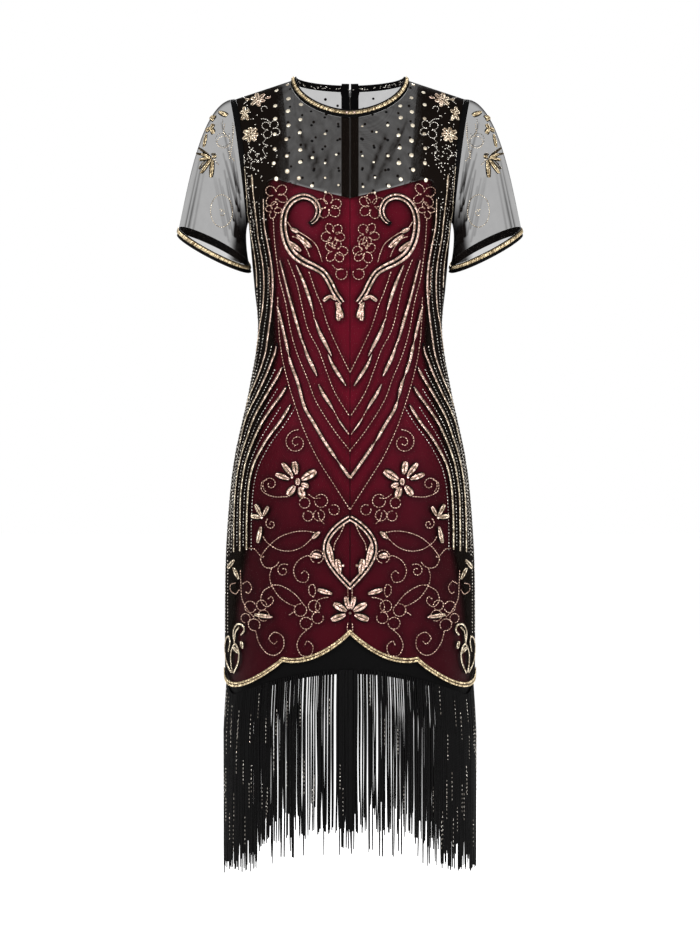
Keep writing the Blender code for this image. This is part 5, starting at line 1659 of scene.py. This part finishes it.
# %% [markdown]
# ## Dark outlines under the beads
#
# Under the gold stripes and leaves lies a dark strip just over the net, wider than the beads, so a dark outline
# shows on both sides: partly the black embroidery, partly painted shade round the beads. The satin gets a
# painted shadow of the beads too: now that every bead has its place, `shade` can have it added, the nearer the
# next bead, the darker.

# %% Dark outlines and the satin's painted shadow
points, faces, count = [], [], 0
for centres, across, widths in outline_strips:
    if (centres[:, 1] > 0).all() and (np.abs(centres[:, 0]) < 16 * MM).any() and centres[:, 2].max() > -424 * MM:
        continue
    pair = np.stack([centres - across * (widths / 2)[:, None], centres + across * (widths / 2)[:, None]], 1)
    k = np.arange(len(centres) - 1) * 2 + count
    faces.append(np.stack([k, k + 2, k + 3, k + 1], -1))
    points.append(pair.reshape(-1, 3))
    count += 2 * len(centres)
outline_mesh = mesh_of("dark_outlines", np.concatenate(points), np.concatenate(faces))
shown("dark_outlines", outline_mesh, band)

for piece, side_beads in zip(slips, ((gold_front, rose_front), (gold_front, rose_front), (gold_back, rose_back))):
    near = np.concatenate([centres for beads in side_beads for centres in beads.centres])
    tree = KDTree(len(near))
    for k, point in enumerate(near):
        tree.insert(point, k)
    tree.balance()
    places = np.empty(len(piece.data.vertices) * 3, np.float32)
    piece.data.vertices.foreach_get("co", places)
    away = np.array([tree.find(place)[2] for place in places.reshape(-1, 3)]) / MM
    values = np.empty(len(away), np.float32)
    layer = piece.data.attributes["shade"]
    layer.data.foreach_get("value", values)
    # Painted shadow of the beads on the satin: darkest within about 4 mm of a bead
    dark = 0.62 * np.exp(-(np.maximum(away - 4.2, 0) / 4.5) ** 1.5)
    layer.data.foreach_set("value", 1 - (1 - values) * (1 - dark).astype(np.float32))
print("cord:", len(outline_mesh.polygons), "faces")

# %% [markdown]
# ## Fringe
#
# Each strand hangs from the hem band and keeps to itself: it sways a little, ends bluntly, and none is as
# long as the next. They stand close at the sides and at the centre, and further apart between.

# %% Strands
FRINGE_LENGTH, STRANDS, STRAND_STEPS, STRAND_SIDES = 248 * MM, 250, 12, 5
GLINT_ROWS, GLINTS_IN_ROW = 74, 7
GLINT_LOWEST_START, GLINT_PITCH = 0.78, 0.024  # as shares of a strand's length
strand_glints = Beads()


def strand_shares(own):
    """Places along the hem: a close clump at the centre, a gap beside it, and loose groups elsewhere."""
    fine = np.linspace(-0.997, 0.997, 4000)
    dense = 1 + 0.9 * np.clip((np.abs(fine) - 0.38) / 0.2, 0, 1) + 2.8 * np.exp(-(((fine + 0.015) / 0.026) ** 2))
    dense *= np.where(np.abs(fine - 0.045) < 0.012, 0.05, 1.0)
    for pitch in (0.047, 0.031):
        dense *= 1 + 0.08 * np.sin(fine * 2 * np.pi / pitch + own.random() * 6)
    total = np.cumsum(dense)
    steps = (np.arange(STRANDS) + 0.5 + 0.2 * own.standard_normal(STRANDS)) / STRANDS * total[-1]
    return np.interp(np.clip(steps, total[0], total[-1]), total, fine)


def strands(side, name, seed):
    own = np.random.default_rng(seed)
    u = strand_shares(own)
    low = hem_band_low_z(u)
    rise = 6 * MM + np.maximum(0, hem_z(u) - 14 * MM - low) * np.clip((np.abs(u) - 0.72) / 0.15, 0, 1)
    root = under_skirt(side, u, low + rise, np.full(len(u), 4.2 * MM) - 0.8 * MM * own.random(len(u)))
    short = (own.random(STRANDS) < 0.5) * (np.abs(u) < 0.9) * (30 + 8 * own.random(STRANDS)) * MM
    long = FRINGE_LENGTH - 5 * MM + own.normal(0, 4.5 * MM, STRANDS) - short
    long += 15 * MM * np.clip((0.85 - np.abs(u)) / 0.25, 0, 1)
    t = np.linspace(0, 1, STRAND_STEPS)
    way = np.stack([root[:, 0], root[:, 1], np.zeros(len(u))], -1)
    way = unit(way)
    side_way = np.cross(way, [0, 0, 1.0])
    drift = own.normal(0, 1.1 * MM, STRANDS)[:, None] * t**2
    sway = own.random(STRANDS)[:, None] * 0.9 * MM
    wave = sway * np.sin(own.random(STRANDS)[:, None] * 6 + t * (5 + 4 * own.random(STRANDS))[:, None])
    flare = 4.5 * MM * np.minimum(t / 0.25, 1)
    centre = root[:, None] + side_way[:, None] * (drift + wave * t)[..., None] + way[:, None] * flare[:, None]
    centre[..., 2] -= t * (long + rise)[:, None]
    thick = (1.05 + 0.45 * own.random(STRANDS))[:, None] * MM * np.where(t > 0.97, 0.8, 1.0)
    angle = np.arange(STRAND_SIDES) * 2 * np.pi / STRAND_SIDES
    ring = way[:, None, None] * np.cos(angle)[:, None] * 0.8 + side_way[:, None, None] * np.sin(angle)[:, None]
    points = centre[:, :, None] + ring * thick[..., None, None]
    at = np.arange(points.size // 3).reshape(STRANDS, STRAND_STEPS, STRAND_SIDES)
    ahead = np.roll(at, -1, axis=2)
    faces = np.stack([at[:, :-1], at[:, 1:], ahead[:, 1:], ahead[:, :-1]], -1).reshape(-1, 4)
    # Small beads shine in short rows, each row on one strand; their painted highlights are kept dim.
    chosen = np.repeat(own.integers(0, STRANDS, GLINT_ROWS), GLINTS_IN_ROW)
    starts = np.repeat(own.random(GLINT_ROWS) * GLINT_LOWEST_START, GLINTS_IN_ROW)
    down = (starts + np.tile(np.arange(GLINTS_IN_ROW), GLINT_ROWS) * GLINT_PITCH) * (STRAND_STEPS - 1)
    step, part = down.astype(int), (down % 1)[:, None]
    shiny = centre[chosen, step] * (1 - part) + centre[chosen, step + 1] * part + way[chosen] * 1.25 * MM
    long_beads = (1.6 + 1.8 * own.random(len(shiny))) * MM
    strand_glints.add(shiny, np.tile([0.0, 0.0, 1.0], (len(shiny), 1)), way[chosen], long_beads, 0.38 * MM)
    strand_glints.glints[-1] = strand_glints.glints[-1] ** 2.5
    mesh = mesh_of(name, points.reshape(-1, 3), faces)
    mesh.shade_smooth()
    around = np.broadcast_to(np.arange(STRAND_SIDES), at.shape)
    along = np.broadcast_to(((long + rise)[:, None] * t)[..., None], at.shape)
    places = np.stack([around, along], -1).reshape(-1, 2)[faces]
    mesh.uv_layers.new(name=WEAVE).data.foreach_set("uv", places.astype(np.float32).ravel())
    return shown(name, mesh, thread, [name.replace("_strands", "")])


fringe = [strands(FRONT, "fringe_front_strands", 3), strands(BACK, "fringe_back_strands", 4)]
strand_glints.made("fringe_beads", silver, "fringe")
print("fringe:", STRANDS, "strands on each side,", len(fringe[0].data.polygons) * 2, "triangles each")

# %% [markdown]
# ## The zip
#
# Two tapes and a chain of small teeth run up the centre back, behind the neck band's ends. The slider and its
# pull are real solids already and only need their enamel.

# %% Tapes, teeth and enamel
ZIP_END_Z, ZIP_TAPE_WIDTH, ZIP_CHAIN_WIDTH = -420 * MM, 12 * MM, 1.8 * MM
TAPE_DEPTH, TAPE_WALL = 1.4 * MM, 0.9 * MM
ZIP_TAPE_NECK = (0.0, 0.25, 0.5, 0.9, 1.3)


def zip_sheet(start, end, columns, neck_heights):
    """A strip up the centre back. Across is seen from behind."""
    xs = np.linspace(start, end, columns)
    z = np.linspace(ZIP_END_Z, NECK_BACK[1] - 5 * MM, 80)

    def sheet(depth):
        x, height = np.meshgrid(xs, z)
        grid = on_net(BACK, x, height, -depth)[0]
        angles, heights = np.meshgrid(math.pi + xs / NECK_BAND_SIDE[0], neck_heights)
        behind = BAND_WALL + SEAM_GAP + depth - TAPE_DEPTH
        return np.concatenate([grid, neck_band_face(angles, heights, behind)[0]])

    return sheet


inner = ZIP_CHAIN_WIDTH / 2 + SEAM_GAP
tape = zip_sheet(inner, inner + ZIP_TAPE_WIDTH, 4, ZIP_TAPE_NECK)
for name, sheet in (("right", tape), ("left", mirrored(tape))):
    node = f"zip_tape_{name}"
    cloth(f"{node}_band", sheet, TAPE_DEPTH, TAPE_WALL, band, [node])
teeth = Beads()
chain = zip_sheet(-0.45 * MM, 0.45 * MM, 2, (0.0, 0.25, 0.5))(TAPE_DEPTH + 0.6 * MM)
middle = chain.mean(1)
length = np.concatenate([[0], np.cumsum(np.linalg.norm(np.diff(middle, axis=0), axis=-1))])
for hand in (0, 1):
    at = np.arange((0.7 + 0.65 * hand) * MM, length[-1], 1.3 * MM)
    points = np.stack([np.interp(at, length, chain[:, hand, k]) for k in range(3)], -1)
    axes, normals = (np.tile(one, (len(points), 1)) for one in ([1.0, 0.0, 0.12], [0.0, 1.0, 0.0]))
    teeth.add(points, axes, normals, 1.5 * MM, 0.5 * MM)
teeth.made("zip_teeth", enamel, "zip", ["zip_chain"])
for node in ("zip_slider", "zip_pull"):
    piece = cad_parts[node]
    piece.data.materials.clear()
    piece.data.materials.append(enamel.material)
print("zip:", teeth.count(), "teeth")

# %% [markdown]
# ## Stage, light and camera
#
# Pale floor, pale surroundings, three large soft lights. The dress is black on its edges, so the light has
# to come round from both sides to draw satin and beads, and the world itself is almost white.

# %% Stage
FLOOR_Z = -1.42
AMBIENT = 0.45


def area_light(name, place, aim, size, power, colour=(1, 1, 1)):
    bpy.ops.object.light_add(type="AREA", location=place)
    light = bpy.context.active_object
    light.name = name
    light.data.size, light.data.energy, light.data.color = size, power, colour
    light.rotation_euler = (Vector(aim) - Vector(place)).to_track_quat("-Z", "Y").to_euler()
    return light


for selected in bpy.context.selected_objects:
    selected.select_set(False)
bpy.ops.mesh.primitive_plane_add(size=60, location=(0, 0, FLOOR_Z))
floor = bpy.context.active_object
floor.name = "studio_floor"
# The paper glows: painted light that keeps it evenly white and lifts the dress's shadow off it
paper = Look("studio paper", (0.9, 0.9, 0.9), Roughness=0.85, Emission_Color=(1, 1, 1, 1), Emission_Strength=0.6)
paper.feed("Roughness", paper.noise(paper.place(), 3.0) * 0.1 + 0.8)
floor.data.materials.append(paper.material)
lights = [
    area_light("key", (-1.5, -2.7, 1.1), (0, 0, -0.5), 1.2, 80),
    area_light("fill", (1.9, -2.4, 0.2), (0, 0, -0.6), 1.5, 50),
    area_light("rim", (0.3, 2.6, 1.3), (0, 0, -0.4), 1.5, 80),
]
world = bpy.data.worlds.new("studio")
bpy.context.scene.world = world
world.use_nodes = True
sky = world.node_tree.nodes["Background"]
sky.inputs["Color"].default_value = (1, 1, 1, 1)
seen = world.node_tree.nodes.new("ShaderNodeLightPath")
strength = world.node_tree.nodes.new("ShaderNodeMapRange")
strength.inputs["To Min"].default_value, strength.inputs["To Max"].default_value = AMBIENT, 1.0
world.node_tree.links.new(seen.outputs["Is Camera Ray"], strength.inputs["Value"])
world.node_tree.links.new(strength.outputs["Result"], sky.inputs["Strength"])

# %% Camera and finish
DISTANCE, AIM_Z = 4.0, -0.556
bpy.ops.object.camera_add(location=(0, -DISTANCE, AIM_Z), rotation=(math.pi / 2, 0, 0))
camera = bpy.context.active_object
camera.data.sensor_fit = "VERTICAL"
camera.data.sensor_height = 36
camera.data.lens = 36 * DISTANCE / 1.3995
bpy.context.scene.camera = camera
bpy.context.scene.view_settings.view_transform = "Standard"
